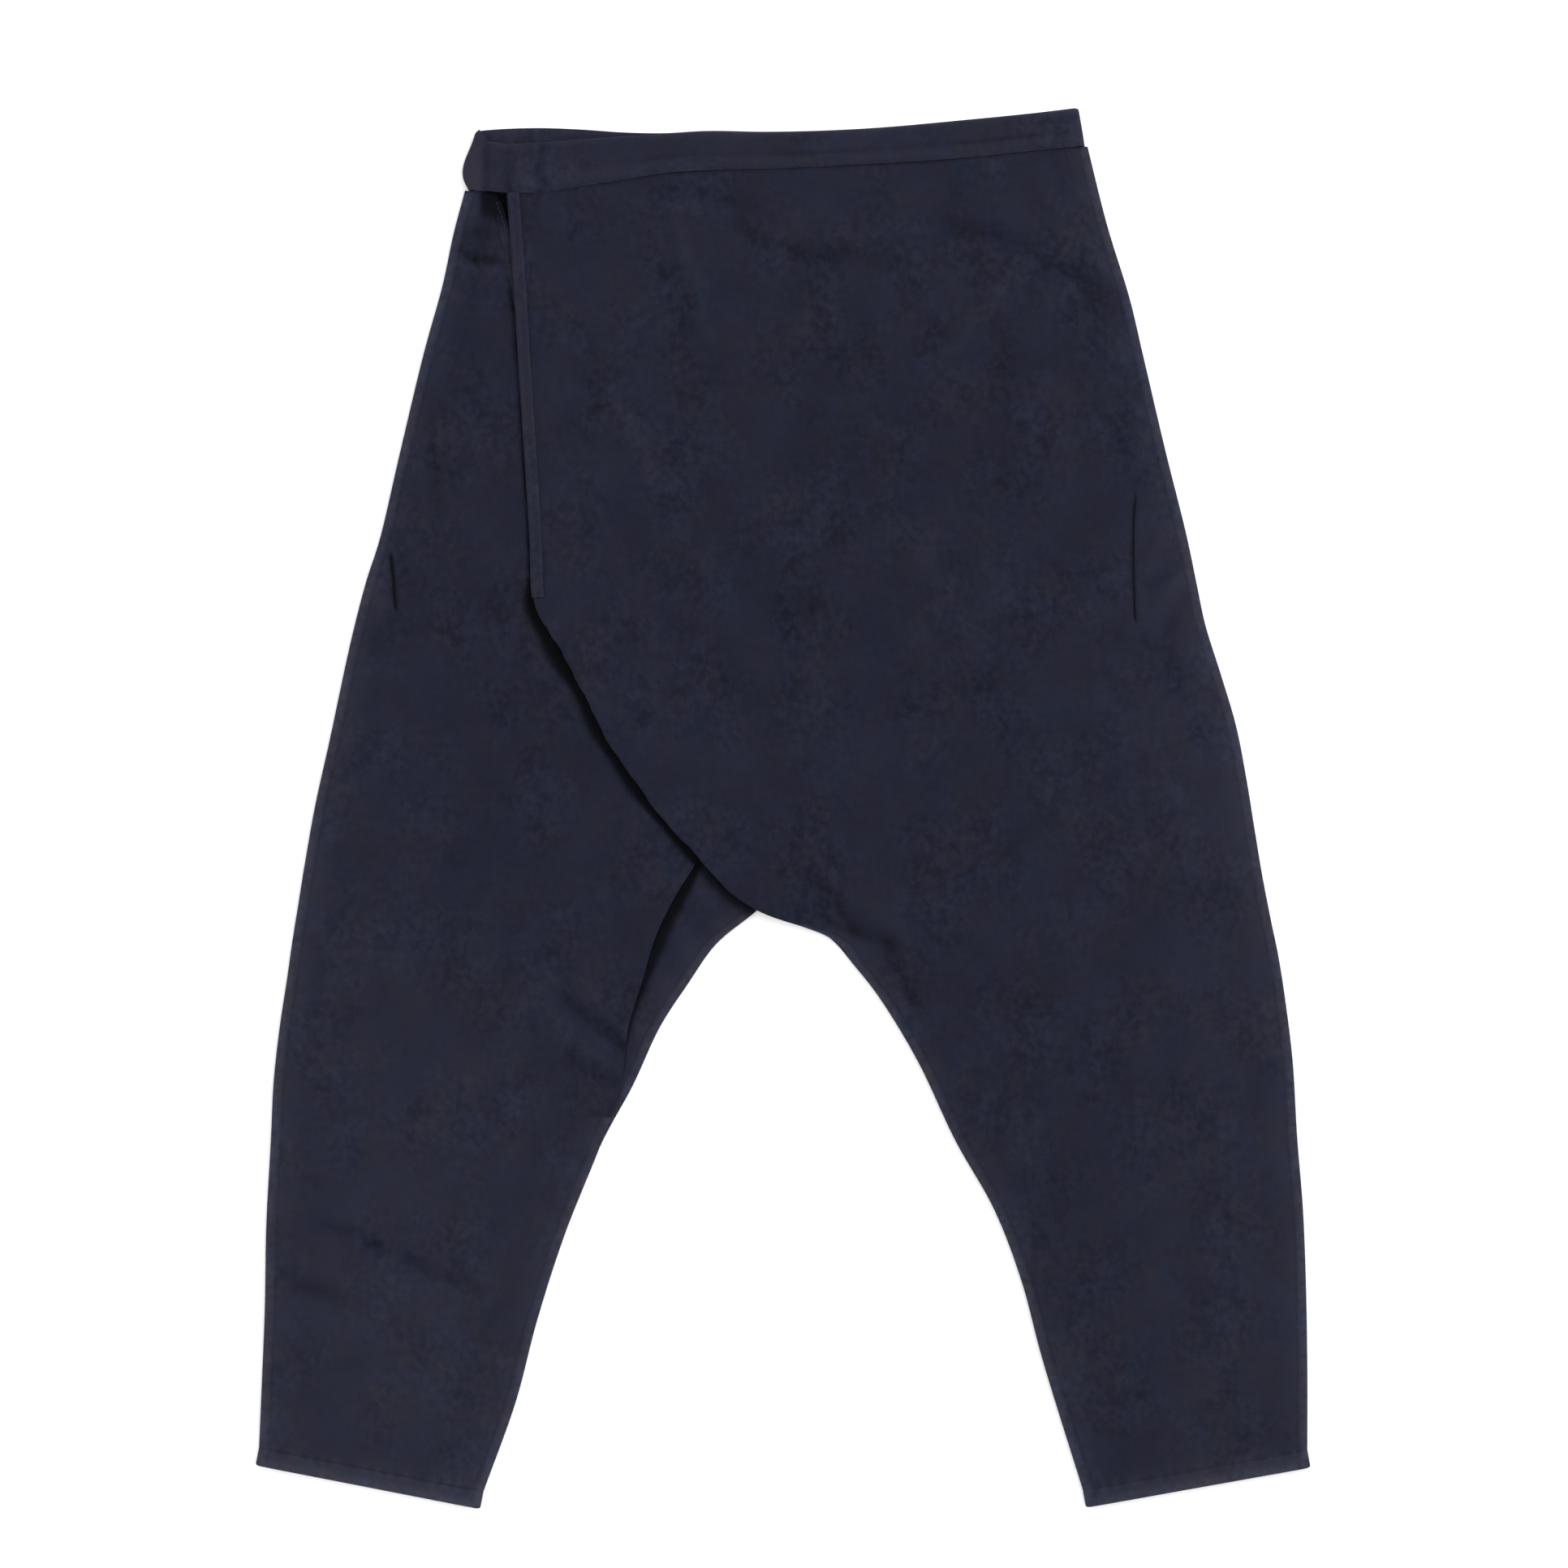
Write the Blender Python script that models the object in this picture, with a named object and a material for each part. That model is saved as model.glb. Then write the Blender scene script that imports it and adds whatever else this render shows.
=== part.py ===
"""Wrap-front cropped trousers, laid flat face up on a floor.

The origin is on the floor under the middle of the garment. +Y points to the waist,
+Z up from the floor, and -X is the side of the wearer's right leg.
Every piece is one cloth wall built round a grid of points in its middle surface.
"""

from collections import namedtuple

import bpy
import numpy as np

MM = 0.001

# Driving sizes, in millimetres
CLOTH = 1.2
GAP = 0.3
WAISTBAND_CLOTH = 2.4
WAISTBAND_HEIGHT = 7.8
HEM_CLOTH = 1.8
HEM_DEPTH = 12.0
HEM_HEIGHT = 5.6
STRIP_CLOTH = 1.0
BACK_LEVEL = CLOTH / 2
FRONT_LEVEL = 4.8
FRONT_AT_WAIST = 6.0
TUCKED_LEVEL = 3.7
LOWEST_OVER_BACK = CLOTH + GAP + CLOTH / 2
SEAM_LEVEL = 2.2
SEAM_TURN = 1.45
EDGE_LEVEL = SEAM_LEVEL + GAP / 2 + SEAM_TURN
EDGE_SLOPE = 16.0
WRAP_SLOPE = 125.0
WAIST_SLOPE = 60.0
TUCK_DEPTH = 12.0
TUCK_INSET = 9.0
TUCK_INSET_AT_EDGE = 6.3
BINDING_WIDTH = 7.0
BINDING_EASE = 0.1
WAIST_SEAM_GAP = 0.8
BACK_WAIST_GAP = 1.2
POCKET_MOUTH = 3.2
POCKET_DEPTH = 1.3
FREE_EDGE_RISE = 1.3
FREE_EDGE_SLOPE = 24.0
LIFTED_STRIP = 10.0
LIFTED_WIDTH = 26.0
FOLD_EASE = 12.0
GUSSET_TIP = 4.0
GUSSET_SLOPE = 14.0
WAISTBAND_CREASE_SHARE = 0.42
WAISTBAND_CREASE_WIDTH = 0.12
WAISTBAND_CREASE_DEPTH = 0.7
WAISTBAND_CREASE_ENDS = (-130, 200)

# How finely the walls are divided
TURN_ANGLES = np.radians((0, 45, 90))
TURNS = len(TURN_ANGLES)
EDGE_INSETS = np.array((7.0, 17.0))
ROLL_ANGLES = np.radians((270, 210, 150, 90))
EDGE_POINTS = len(ROLL_ANGLES) + 2
GUSSET_SHARES = np.array((0, 0.3, 0.55, 0.8))
GUSSET_SECTIONS = 11
BINDING_SHARES = np.array((0.04, 0.3, 0.65, 0.95))
BINDING_SECTIONS = 7
WAISTBAND_POINTS = 25
HEM_POINTS = 10
NARROW_SECTION = 60.0
FULL_ROWS_FROM = 14

# The waistband, from the wearer's right to the left: its lower edge, and its two top edges
WAISTBAND_EDGES = {
    "x": (-220, -205, -190, -171, -139, -110, -82, -55, -11, 53, 124, 187, 207),
    "bottom": (426, 425, 424, 423.5, 428, 432.5, 437, 439, 440, 443, 447.5, 454, 456),
    "front_top": (463, 459, 457, 457.5, 460, 462, 463, 463.5, 462.5, 466, 472.5, 479, 481),
    "back_top": (465, 467, 468, 468.5, 467.5, 465, 464, 465, 464, 467.5, 474, 480.5, 483),
}
WAISTBAND_SIDES = {
    "height_share": (0.0, 0.15, 1.0),
    "right_side_x": (-217, -220, -213),
    "left_side_x": (207.5, 207, 203.5),
}

# The wearer's right leg, from the waist to the hem: a row for each section
RIGHT_LEG = {
    "side_x": (-219, -227, -235, -248, -264, -277, -288, -299, -312, -322,
               -329, -334, -338, -342, -347, -351, -353, -356, -357, -359, -361),
    "side_y": (421, 394, 358, 311, 244, 188, 153, 109, 48, 3,
               -36, -67, -92, -120, -153, -190, -232, -288, -344, -395, -442),
    "back_x": (-2, -2, -2, -2, -2, -2, -2, -2, -2, -2,
               -2, -18, -46, -66, -86, -104, -127, -151, -170, -185, -207),
    "back_y": (438, 398, 356, 305, 238, 177, 132, 87, 37, -5,
               -52, -70, -93, -121, -152, -191, -234, -294, -353, -410, -471),
    "front_x": (-204, -199.5, -187, -172, -142, -120, -108, -92, -64, -45,
                -59, -71, -83, -94, -102, -104, -127, -151, -170, -185, -207),
    "front_y": (424, 394, 358, 311, 244, 182, 132, 87, 34, -4,
                -35, -60, -87, -117, -149, -191, -234, -294, -353, -410, -471),
    "front_lift": (0, 0, 0, 0, 0, 0, 0, 0, 0, 0.4,
                   1.2, 1.8, 1.6, 0.8, 0.2, 0, 0, 0, 0, 0, 0),
    "inner_seam": (0, 0, 0, 0, 0, 0, 0, 0, 0, 0,
                   0, 0, 0, 0, 0, 1, 1, 1, 1, 1, 1),
    "back_inner_turn": (0, 0, 0, 0, 0, 0, 0, 0, 0, 0,
                        0, 1, 1, 1, 1, 1, 1, 1, 1, 1, 1),
    "pocket_inset": (6, 10, 16, 18, 16, 12, 28, 30, 30, 30,
                     30, 30, 30, 30, 30, 30, 30, 30, 30, 30, 30),
}
RIGHT_POCKET_ROWS = (4.9, 6.1)
GUSSET_ROWS = (9.8, 13.9)
GUSSET_UNDERLAP = 14.0
GUSSET_END_UNDERLAP = 5.0
UNDER_BINDING_ROWS = (0.2, 1.9)

# The wearer's left leg and the wide wrap front that is cut in one with it
LEFT_LEG = {
    "side_x": (209.5, 223, 238, 248, 263, 277, 285, 291, 302, 312, 319,
               325, 330, 336, 341, 346, 351, 354, 358, 360, 361, 361),
    "side_y": (453, 401, 353, 311, 247, 191, 153, 125, 90, 56, 20,
               -17, -47, -78, -102, -134, -176, -227, -277, -327, -383, -444),
    "back_x": (0, 0, 0, 0, 0, 0, 0, 0, 0, 0, 0,
               0, 3, 32, 49, 69, 94, 119, 146, 165, 180, 207),
    "back_y": (438, 395, 350, 305, 244, 188, 143, 110, 76, 39, 3,
               -38, -71, -89, -108, -134, -176, -229, -277, -327, -383, -470),
    "wrap_x": (-189, -186.5, -183.5, -181, -177, -173.5, -171, -159, -142, -123, -95,
               -62, -28, 32, 49, 69, 94, 119, 146, 165, 180, 207),
    "wrap_y": (423, 389, 347, 305, 244, 188, 142, 119, 89, 51, 9,
               -30, -64, -89, -108, -134, -176, -229, -277, -327, -383, -470),
    "fold_level": (5.3, 5.7, 6.6, 6.8, 6.8, 6.8, 7.4, 9.0, 8.4, 7.6, 7.8,
                   8.2, 6.4, 4, 4, 4, 4, 4, 4, 4, 4, 4),
    "fold_radius": (0.8, 0.8, 0.8, 0.8, 0.8, 0.8, 1.2, 1.8, 1.7, 1.6, 1.6,
                    1.6, 1.2, 1, 1, 1, 1, 1, 1, 1, 1, 1),
    "turned_under": (8, 8, 8, 8, 8, 8, 10, 18, 24, 27, 26,
                     16, 5, 4, 4, 4, 4, 4, 4, 4, 4, 4),
    "inner_seam": (0, 0, 0, 0, 0, 0, 0, 0, 0, 0, 0,
                   0, 0, 1, 1, 1, 1, 1, 1, 1, 1, 1),
    "back_inner_turn": (0, 0, 0, 0, 0, 0, 0, 0, 0, 0, 0,
                        0, 0, 1, 1, 1, 1, 1, 1, 1, 1, 1),
    "pocket_inset": (26, 26, 26, 26, 26, 30, 40, 48, 48, 46, 44,
                     42, 42, 40, 40, 40, 40, 40, 40, 40, 40, 40),
}
LEFT_POCKET_ROWS = (4.4, 7.0)
BINDING_ROWS = (0.15, 5.95)

# The largest folds of each front: a ridge rises, and a trough has a negative rise
Fold = namedtuple("Fold", "start_x start_y end_x end_y half_width rise")
RIGHT_FOLDS = (
    Fold(-199, 410, -194, 388, 10, -2.6),
    Fold(-221, 408, -219, 392, 9, 2.4),
    Fold(-222, 380, -196, 372, 6, 1.6),
    Fold(-146, -128, -116, -176, 8, -1.3),
    Fold(-134, -124, -104, -168, 8, 1.1),
    Fold(-316, -292, -212, -334, 10, -1.2),
    Fold(-318, -312, -226, -352, 11, 1.0),
    Fold(-344, -326, -303, -339, 9, -1.0),
    Fold(-243, 234, -232, 198, 8, -1.0),
)
WRAP_FOLDS = (
    Fold(-48, 414, 64, 378, 15, -1.3),
    Fold(120, 398, 166, 386, 12, -1.3),
    Fold(-62, 378, -48, 320, 9, 1.1),
    Fold(-102, 272, -86, 220, 9, 1.0),
    Fold(166, 384, 118, 296, 10, 1.0),
    Fold(196, 360, 222, 344, 12, -0.9),
    Fold(18, -44, 84, -118, 11, -1.6),
    Fold(40, -52, 108, -122, 10, 1.2),
    Fold(-100, 100, 20, 20, 16, 0.9),
    Fold(150, -272, 166, -306, 9, 1.2),
    Fold(246, -180, 262, -260, 14, 0.8),
)

NAVY = (0.019, 0.021, 0.035)
NAVY_BAND = (0.024, 0.025, 0.041)


def through(knots, values, places):
    """Smooth curve through values at knots, read at places."""
    knots = np.asarray(knots, float)
    values = np.asarray(values, float)
    slopes = np.gradient(values, knots, axis=0)
    places = np.clip(np.asarray(places, float), knots[0], knots[-1])
    if values.ndim > 1:
        places = np.atleast_1d(places)
    k = np.clip(np.searchsorted(knots, places, side="right") - 1, 0, len(knots) - 2)
    step = knots[k + 1] - knots[k]
    step = step.reshape(step.shape + (1,) * (values.ndim - 1))
    t = (places - knots[k]).reshape(step.shape) / step
    return (
        (2 * t**3 - 3 * t**2 + 1) * values[k]
        + (t**3 - 2 * t**2 + t) * step * slopes[k]
        + (3 * t**2 - 2 * t**3) * values[k + 1]
        + (t**3 - t**2) * step * slopes[k + 1]
    )


def column(table, name, rows):
    """One column of a leg's table, read smoothly at row numbers that need not be whole."""
    return through(np.arange(len(table[name])), table[name], rows)


def straight(table, name, rows):
    """One column of a leg's table, read in straight steps."""
    return np.interp(rows, np.arange(len(table[name])), table[name])


def eased(value):
    """0 below 0, 1 above 1, and a smooth rise between."""
    value = np.clip(value, 0, 1)
    return value * value * (3 - 2 * value)


def band_edge(name, x):
    return through(WAISTBAND_EDGES["x"], WAISTBAND_EDGES[name], x)


def seam_profile(angle):
    """(inset, height under the edge level) of a front's turned edge, at an angle from the seam."""
    return SEAM_TURN * (1 - np.cos(angle)), -SEAM_TURN * (1 - np.sin(angle))


def fold_height(folds, x, y):
    """Sum of the soft ridges and troughs in a table of folds, at points of a front."""
    total = np.zeros_like(x)
    for fold in folds:
        along = np.array((fold.end_x - fold.start_x, fold.end_y - fold.start_y), float)
        length = np.hypot(*along)
        along /= length
        run = (x - fold.start_x) * along[0] + (y - fold.start_y) * along[1]
        off = (x - fold.start_x) * along[1] - (y - fold.start_y) * along[0]
        past = np.maximum(np.maximum(-run, run - length), 0) / 1.4
        total += fold.rise * np.exp(-(off**2 + past**2) / fold.half_width**2)
    return total


def crown(inset):
    """Height of a front over its edge level, at a distance in from the seam."""
    share = np.clip((inset - SEAM_TURN) / EDGE_SLOPE, 0, 1)
    return (FRONT_LEVEL - EDGE_LEVEL) * (1 - (1 - share) ** 2)


def below_waistband(x, y, rows, gap=WAIST_SEAM_GAP):
    """Points moved so that the first row follows the waistband's lower edge, fading over two rows."""
    share = np.clip(1 - rows[:, None] / 2, 0, 1) ** 2
    return y + share * (band_edge("bottom", x) - gap - y[:1])


def section_rows(table):
    """Row numbers of a panel's sections: half steps down to the crotch, whole steps to the hem."""
    last = len(table["side_x"]) - 1
    return np.concatenate([np.arange(0, FULL_ROWS_FROM, 0.5), np.arange(FULL_ROWS_FROM, last + 1)])


def unit(vectors):
    return vectors / np.linalg.norm(vectors, axis=-1, keepdims=True)


def grid_normals(grid, closed, upright_first, upright_last):
    """Unit normals of a grid; where its first or last column is a seam, they lie level."""
    down = np.gradient(grid, axis=0)
    if closed:
        across = np.roll(grid, -1, axis=1) - np.roll(grid, 1, axis=1)
    else:
        across = np.gradient(grid, axis=1)
    for place, share in ((0, upright_first), (-1, upright_last)):
        if share is None:
            continue
        rise = np.sign(across[:, place, 2:]) * np.array((0.0, 0.0, 1.0))
        level = np.asarray(share, float)[:, None]
        across[:, place] = (1 - level) * unit(across[:, place]) + level * rise
        down[:, place, 2] *= 1 - level[:, 0]
    return unit(np.cross(down, across))


def wall(name, grid, thickness, colour, closed=False, upright_first=None, upright_last=None):
    """One closed cloth wall of even thickness round a grid of points, given in millimetres."""
    grid = np.asarray(grid, float)
    rows, columns = grid.shape[:2]
    normals = grid_normals(grid, closed, upright_first, upright_last)
    outer = grid + normals * thickness / 2
    inner = grid - normals * thickness / 2
    points = np.concatenate([outer.reshape(-1, 3), inner.reshape(-1, 3)]) * MM
    points[:, 2] = np.maximum(np.round(points[:, 2], 8), 0)
    under = rows * columns
    last = columns if closed else columns - 1
    faces = []
    for i in range(rows - 1):
        for j in range(last):
            right = (j + 1) % columns
            a, b = i * columns + j, (i + 1) * columns + j
            c, d = (i + 1) * columns + right, i * columns + right
            faces += [(a, b, c, d), (under + d, under + c, under + b, under + a)]
    for j in range(last):
        right = (j + 1) % columns
        faces.append((j, right, under + right, under + j))
        a, b = (rows - 1) * columns + j, (rows - 1) * columns + right
        faces.append((b, a, under + a, under + b))
    if not closed:
        for i in range(rows - 1):
            a, b = i * columns, (i + 1) * columns
            faces.append((b, a, under + a, under + b))
            c, d = a + columns - 1, b + columns - 1
            faces.append((c, d, under + d, under + c))
    mesh = bpy.data.meshes.new(name)
    mesh.from_pydata([tuple(p) for p in points], [], faces)
    mesh.materials.append(cloth_material(name + "_cloth", colour))
    mesh.shade_smooth()
    mesh.set_sharp_from_angle(angle=np.radians(50))
    piece = bpy.data.objects.new(name, mesh)
    bpy.context.scene.collection.objects.link(piece)


def cloth_material(name, colour):
    material = bpy.data.materials.new(name)
    material.use_nodes = True
    shader = material.node_tree.nodes["Principled BSDF"]
    shader.inputs["Base Color"].default_value = (*colour, 1)
    shader.inputs["Roughness"].default_value = 0.9
    shader.inputs["Metallic"].default_value = 0
    return material


def section_lines(table, rows, first_name, last_name):
    """Both ends of each section of a leg, in plan, and its length."""
    first, last = (
        np.stack([column(table, end + "_x", rows), column(table, end + "_y", rows)], 1)
        for end in (first_name, last_name)
    )
    return first, last, np.linalg.norm(last - first, axis=1)


def lean(edge, far_edge):
    """How much further a section runs than straight in from its edge."""
    along, across = unit(np.gradient(edge, axis=0)), unit(far_edge - edge)
    return 1 / np.maximum(abs(along[:, 0] * across[:, 1] - along[:, 1] * across[:, 0]), 0.35)


def plan(first, last, lengths, insets):
    """Plan positions at insets from the first end of each section."""
    share = insets / lengths[:, None]
    return first[:, None] * (1 - share[..., None]) + last[:, None] * share[..., None]


def back_panel(name, table, side_first):
    """A flat back with its side and inner leg edges turned up to their seams."""
    rows = section_rows(table)
    turn_side = np.ones_like(rows)
    turn_inner = straight(table, "back_inner_turn", rows)
    if side_first:
        first, last, lengths = section_lines(table, rows, "side", "back")
        turn_first, turn_last = turn_side, turn_inner
    else:
        first, last, lengths = section_lines(table, rows, "back", "side")
        turn_first, turn_last = turn_inner, turn_side
    turned, _ = seam_profile(TURN_ANGLES)
    near = np.concatenate([turned, EDGE_INSETS[:1]])
    width = lengths[:, None]
    interior = np.linspace(0, 1, 6)[None, 1:-1] * (width - 2 * near[-1]) + near[-1]
    insets = np.concatenate([np.tile(near, (len(rows), 1)), interior, width - near[::-1]], 1)
    place = plan(first, last, lengths, insets)
    place[..., 1] = below_waistband(place[..., 0], place[..., 1], rows, BACK_WAIST_GAP)
    rise = SEAM_TURN * (1 - np.sin(TURN_ANGLES))
    level = np.full(insets.shape, BACK_LEVEL)
    level[:, :TURNS] += turn_first[:, None] * rise
    level[:, -TURNS:] += turn_last[:, None] * rise[::-1]
    grid = np.dstack([place, level])
    wall(name, grid, CLOTH, NAVY, upright_first=turn_first, upright_last=turn_last)


def pocket_trough(rows, span):
    """Depth of the pocket's mouth at each row: full between its ends, and none past them."""
    middle, half = (span[0] + span[1]) / 2, (span[1] - span[0]) / 2
    return -POCKET_DEPTH * eased((half - abs(rows - middle)) / (0.18 * half))


def front_right_sheet():
    """Grid of the right front, which runs on under the wrap and under the waistband."""
    table = RIGHT_LEG
    rows = section_rows(table)
    first, last, lengths = section_lines(table, rows, "side", "front")
    seam = straight(table, "inner_seam", rows)
    pocket = column(table, "pocket_inset", rows)[:, None]
    narrow = np.clip(lengths / NARROW_SECTION, 0, 1)[:, None]
    turned, under = seam_profile(TURN_ANGLES)
    near = np.tile(turned, (len(rows), 1))
    mouth = pocket + narrow * POCKET_MOUTH * np.array((-0.5, 0, 0.5))
    far = lengths[:, None] - np.concatenate([narrow * EDGE_INSETS[::-1], near[:, ::-1]], 1)
    start = mouth[:, -1:]
    interior = start + np.linspace(0, 1, 8)[None, 1:-1] * (far[:, :1] - start)
    insets = np.concatenate([near, pocket * 0.5, mouth, interior, far], 1)
    place = plan(first, last, lengths, insets)
    x = place[..., 0]
    y = below_waistband(x, place[..., 1], rows)
    from_side = insets
    from_inner = lengths[:, None] - insets
    sewn = seam[:, None]
    level = EDGE_LEVEL + crown(from_side)
    level = level * (1 - sewn) + sewn * np.minimum(level, EDGE_LEVEL + crown(from_inner))
    free_edge = np.minimum(level, LOWEST_OVER_BACK + FREE_EDGE_RISE)
    free_level = free_edge + (level - free_edge) * eased(from_inner / (FREE_EDGE_SLOPE * narrow))
    level = np.where(sewn > 0.5, level, free_level)
    lift = straight(table, "front_lift", rows)[:, None]
    lift = lift * np.exp(-(((from_inner - LIFTED_STRIP) / LIFTED_WIDTH) ** 2))
    level += lift * eased(from_side / NARROW_SECTION)
    ease = eased(from_side / FOLD_EASE) * np.where(sewn > 0.5, eased(from_inner / FOLD_EASE), 1)
    level += ease * fold_height(RIGHT_FOLDS, x, y)
    level[:, TURNS + 2] += pocket_trough(rows, RIGHT_POCKET_ROWS)
    level = np.maximum(level, LOWEST_OVER_BACK + GAP)
    level[:, :TURNS] = EDGE_LEVEL + under
    level[:, -TURNS:] = level[:, -TURNS:] * (1 - sewn) + sewn * (EDGE_LEVEL + under[::-1])
    level[0] = TUCKED_LEVEL
    top = np.dstack([x, y, level])
    tuck = top[:1].copy()
    tuck[..., 1] += TUCK_DEPTH
    from_inside = 1 - from_side[0] / lengths[0]
    tuck[0, :, 0] += TUCK_INSET * from_inside
    top[0, :, 0] += TUCK_INSET_AT_EDGE * from_inside
    return np.concatenate([tuck, top]), np.concatenate([seam[:1], seam]), rows


def front_right():
    grid, seam, _ = front_right_sheet()
    upright = np.ones(len(seam))
    upright[:2] = 0
    wall("front_right", grid, CLOTH, NAVY, upright_first=upright, upright_last=seam)


def gusset():
    """Inner leg piece of the right leg: it starts under the front and ends at the inner leg seam."""
    rows = np.linspace(*GUSSET_ROWS, GUSSET_SECTIONS)
    _, front, _ = section_lines(RIGHT_LEG, rows, "side", "front")
    _, back, _ = section_lines(RIGHT_LEG, rows, "side", "back")
    last_row = GUSSET_ROWS[1]
    end_share = eased(rows - last_row + 1)[:, None]
    underlap = GUSSET_UNDERLAP + end_share * (GUSSET_END_UNDERLAP - GUSSET_UNDERLAP)
    first = front - underlap * np.array((1, 0))
    lengths = np.linalg.norm(back - first, axis=1)
    turned, under = seam_profile(TURN_ANGLES)
    width = lengths[:, None]
    insets = np.concatenate([GUSSET_SHARES * (width - GUSSET_TIP), width - turned[::-1]], 1)
    place = plan(first, back, lengths, insets)
    rise = EDGE_LEVEL - LOWEST_OVER_BACK
    level = LOWEST_OVER_BACK + rise * eased((insets - underlap) / GUSSET_SLOPE)
    level[:, -TURNS:] = np.minimum(level[:, -TURNS:], EDGE_LEVEL + under[::-1])
    level[:, -1] = EDGE_LEVEL + under[0]
    grid = np.dstack([place, level])
    wall("gusset_right", grid, CLOTH, NAVY, upright_last=np.ones(len(rows)))


def wrap_sheet():
    """Grid of the wide wrap front, whose free edge is turned under down to the crotch."""
    table = LEFT_LEG
    rows = section_rows(table)
    first, last, lengths = section_lines(table, rows, "wrap", "side")
    seam = eased(straight(table, "inner_seam", rows))[:, None]
    radius = straight(table, "fold_radius", rows)[:, None]
    fold = column(table, "fold_level", rows)[:, None]
    return_width = straight(table, "turned_under", rows)[:, None]
    pocket = column(table, "pocket_inset", rows)[:, None]
    # The turned edge, as a fold and as a seam, with the same number of points
    roll_inset = radius + radius * np.cos(ROLL_ANGLES)
    roll_level = fold + radius + radius * np.sin(ROLL_ANGLES)
    fold_inset = np.concatenate([return_width, 0.5 * return_width, roll_inset], 1)
    fold_level = np.concatenate([fold, fold, roll_level], 1)
    seam_inset, seam_under = seam_profile(np.radians(np.linspace(0, 90, EDGE_POINTS)))
    edge_inset = (fold_inset * (1 - seam) + seam * seam_inset) * lean(first, last)[:, None]
    edge_level = fold_level * (1 - seam) + seam * (EDGE_LEVEL + seam_under)
    width = lengths[:, None]
    beside = np.full_like(width, EDGE_INSETS[0])
    mouth = width - pocket + POCKET_MOUTH * np.array((-0.5, 0, 0.5))
    start = EDGE_INSETS[1]
    interior = start + np.linspace(0, 1, 12)[None, :-1] * (mouth[:, :1] - start)
    turned, under = seam_profile(TURN_ANGLES)
    side = np.concatenate([width - 0.5 * pocket, width - turned[::-1]], 1)
    insets = np.concatenate([edge_inset, beside, interior, mouth, side], 1)
    place = plan(first, last, lengths, insets)
    x = place[..., 0]
    y = below_waistband(x, place[..., 1], rows)
    from_edge = insets
    from_side = width - insets
    edge_top = fold + 2 * radius
    at_fold = FRONT_LEVEL + (edge_top - FRONT_LEVEL) * (1 - eased(from_edge / WRAP_SLOPE))
    at_seam = EDGE_LEVEL + crown(from_edge)
    level = at_fold * (1 - seam) + at_seam * seam
    level = np.minimum(level, EDGE_LEVEL + crown(from_side) + np.maximum(level - FRONT_LEVEL, 0))
    near_waist = eased(1 - (band_edge("bottom", x) - y) / WAIST_SLOPE)
    level += near_waist * np.clip(FRONT_AT_WAIST - level, 0, None) * eased(from_side / FOLD_EASE)
    ease = eased(from_edge / EDGE_INSETS[1]) * eased(from_side / FOLD_EASE)
    level += ease * fold_height(WRAP_FOLDS, x, y)
    level[:, :EDGE_POINTS] = edge_level
    level[:, -TURNS:] = EDGE_LEVEL + under[::-1]
    level[:, -TURNS - 3] += pocket_trough(rows, LEFT_POCKET_ROWS)
    return np.dstack([x, y, level]), seam[:, 0], rows


def front_wrap():
    grid, seam, _ = wrap_sheet()
    wall("front_wrap", grid, CLOTH, NAVY, upright_first=seam, upright_last=np.ones(len(seam)))


def edge_strip(name, panel):
    """Narrow binding on a free edge, from the panel's points there inward, moved out of its face."""
    steps = np.linalg.norm(np.diff(panel, axis=1), axis=2)
    runs = np.concatenate([np.zeros((len(panel), 1)), np.cumsum(steps, axis=1)], 1)
    insets = BINDING_WIDTH * BINDING_SHARES
    strip = np.array([
        [[np.interp(inset, run, row[:, axis]) for axis in range(3)] for inset in insets]
        for run, row in zip(runs, panel)
    ])
    strip[..., 2] += CLOTH / 2 + GAP + STRIP_CLOTH / 2 + BINDING_EASE
    wall(name, strip, STRIP_CLOTH, NAVY_BAND)


def placket_binding():
    grid, _, rows = wrap_sheet()
    kept = (rows >= BINDING_ROWS[0]) & (rows <= BINDING_ROWS[1])
    edge_strip("placket_binding", grid[kept, EDGE_POINTS - 1:EDGE_POINTS + 3])


def under_binding():
    """The same binding on the right front's own edge, which shows in the gap of the opening."""
    grid, _, rows = front_right_sheet()
    places = np.linspace(*UNDER_BINDING_ROWS, BINDING_SECTIONS)
    panel = through(rows, grid[1:, -1:-TURNS - 4:-1], places)
    edge_strip("placket_under_binding", panel[::-1])


def ring_levels(height, thickness, straight_points):
    """(share across, level, side turn) round a flattened tube lying on the floor."""
    radius = (height - thickness) / 2
    middle = height / 2
    shares = np.linspace(0, 1, straight_points)
    turn = np.radians((60, 30, 0, -30, -60))
    front = [(share, middle + radius, 0.0) for share in shares]
    far = [(1.0, middle + radius * np.sin(a), radius * np.cos(a)) for a in turn]
    back = [(share, middle - radius, 0.0) for share in shares[::-1]]
    near = [(0.0, middle + radius * np.sin(a), -radius * np.cos(a)) for a in -turn]
    return front + far + back + near, radius


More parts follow.
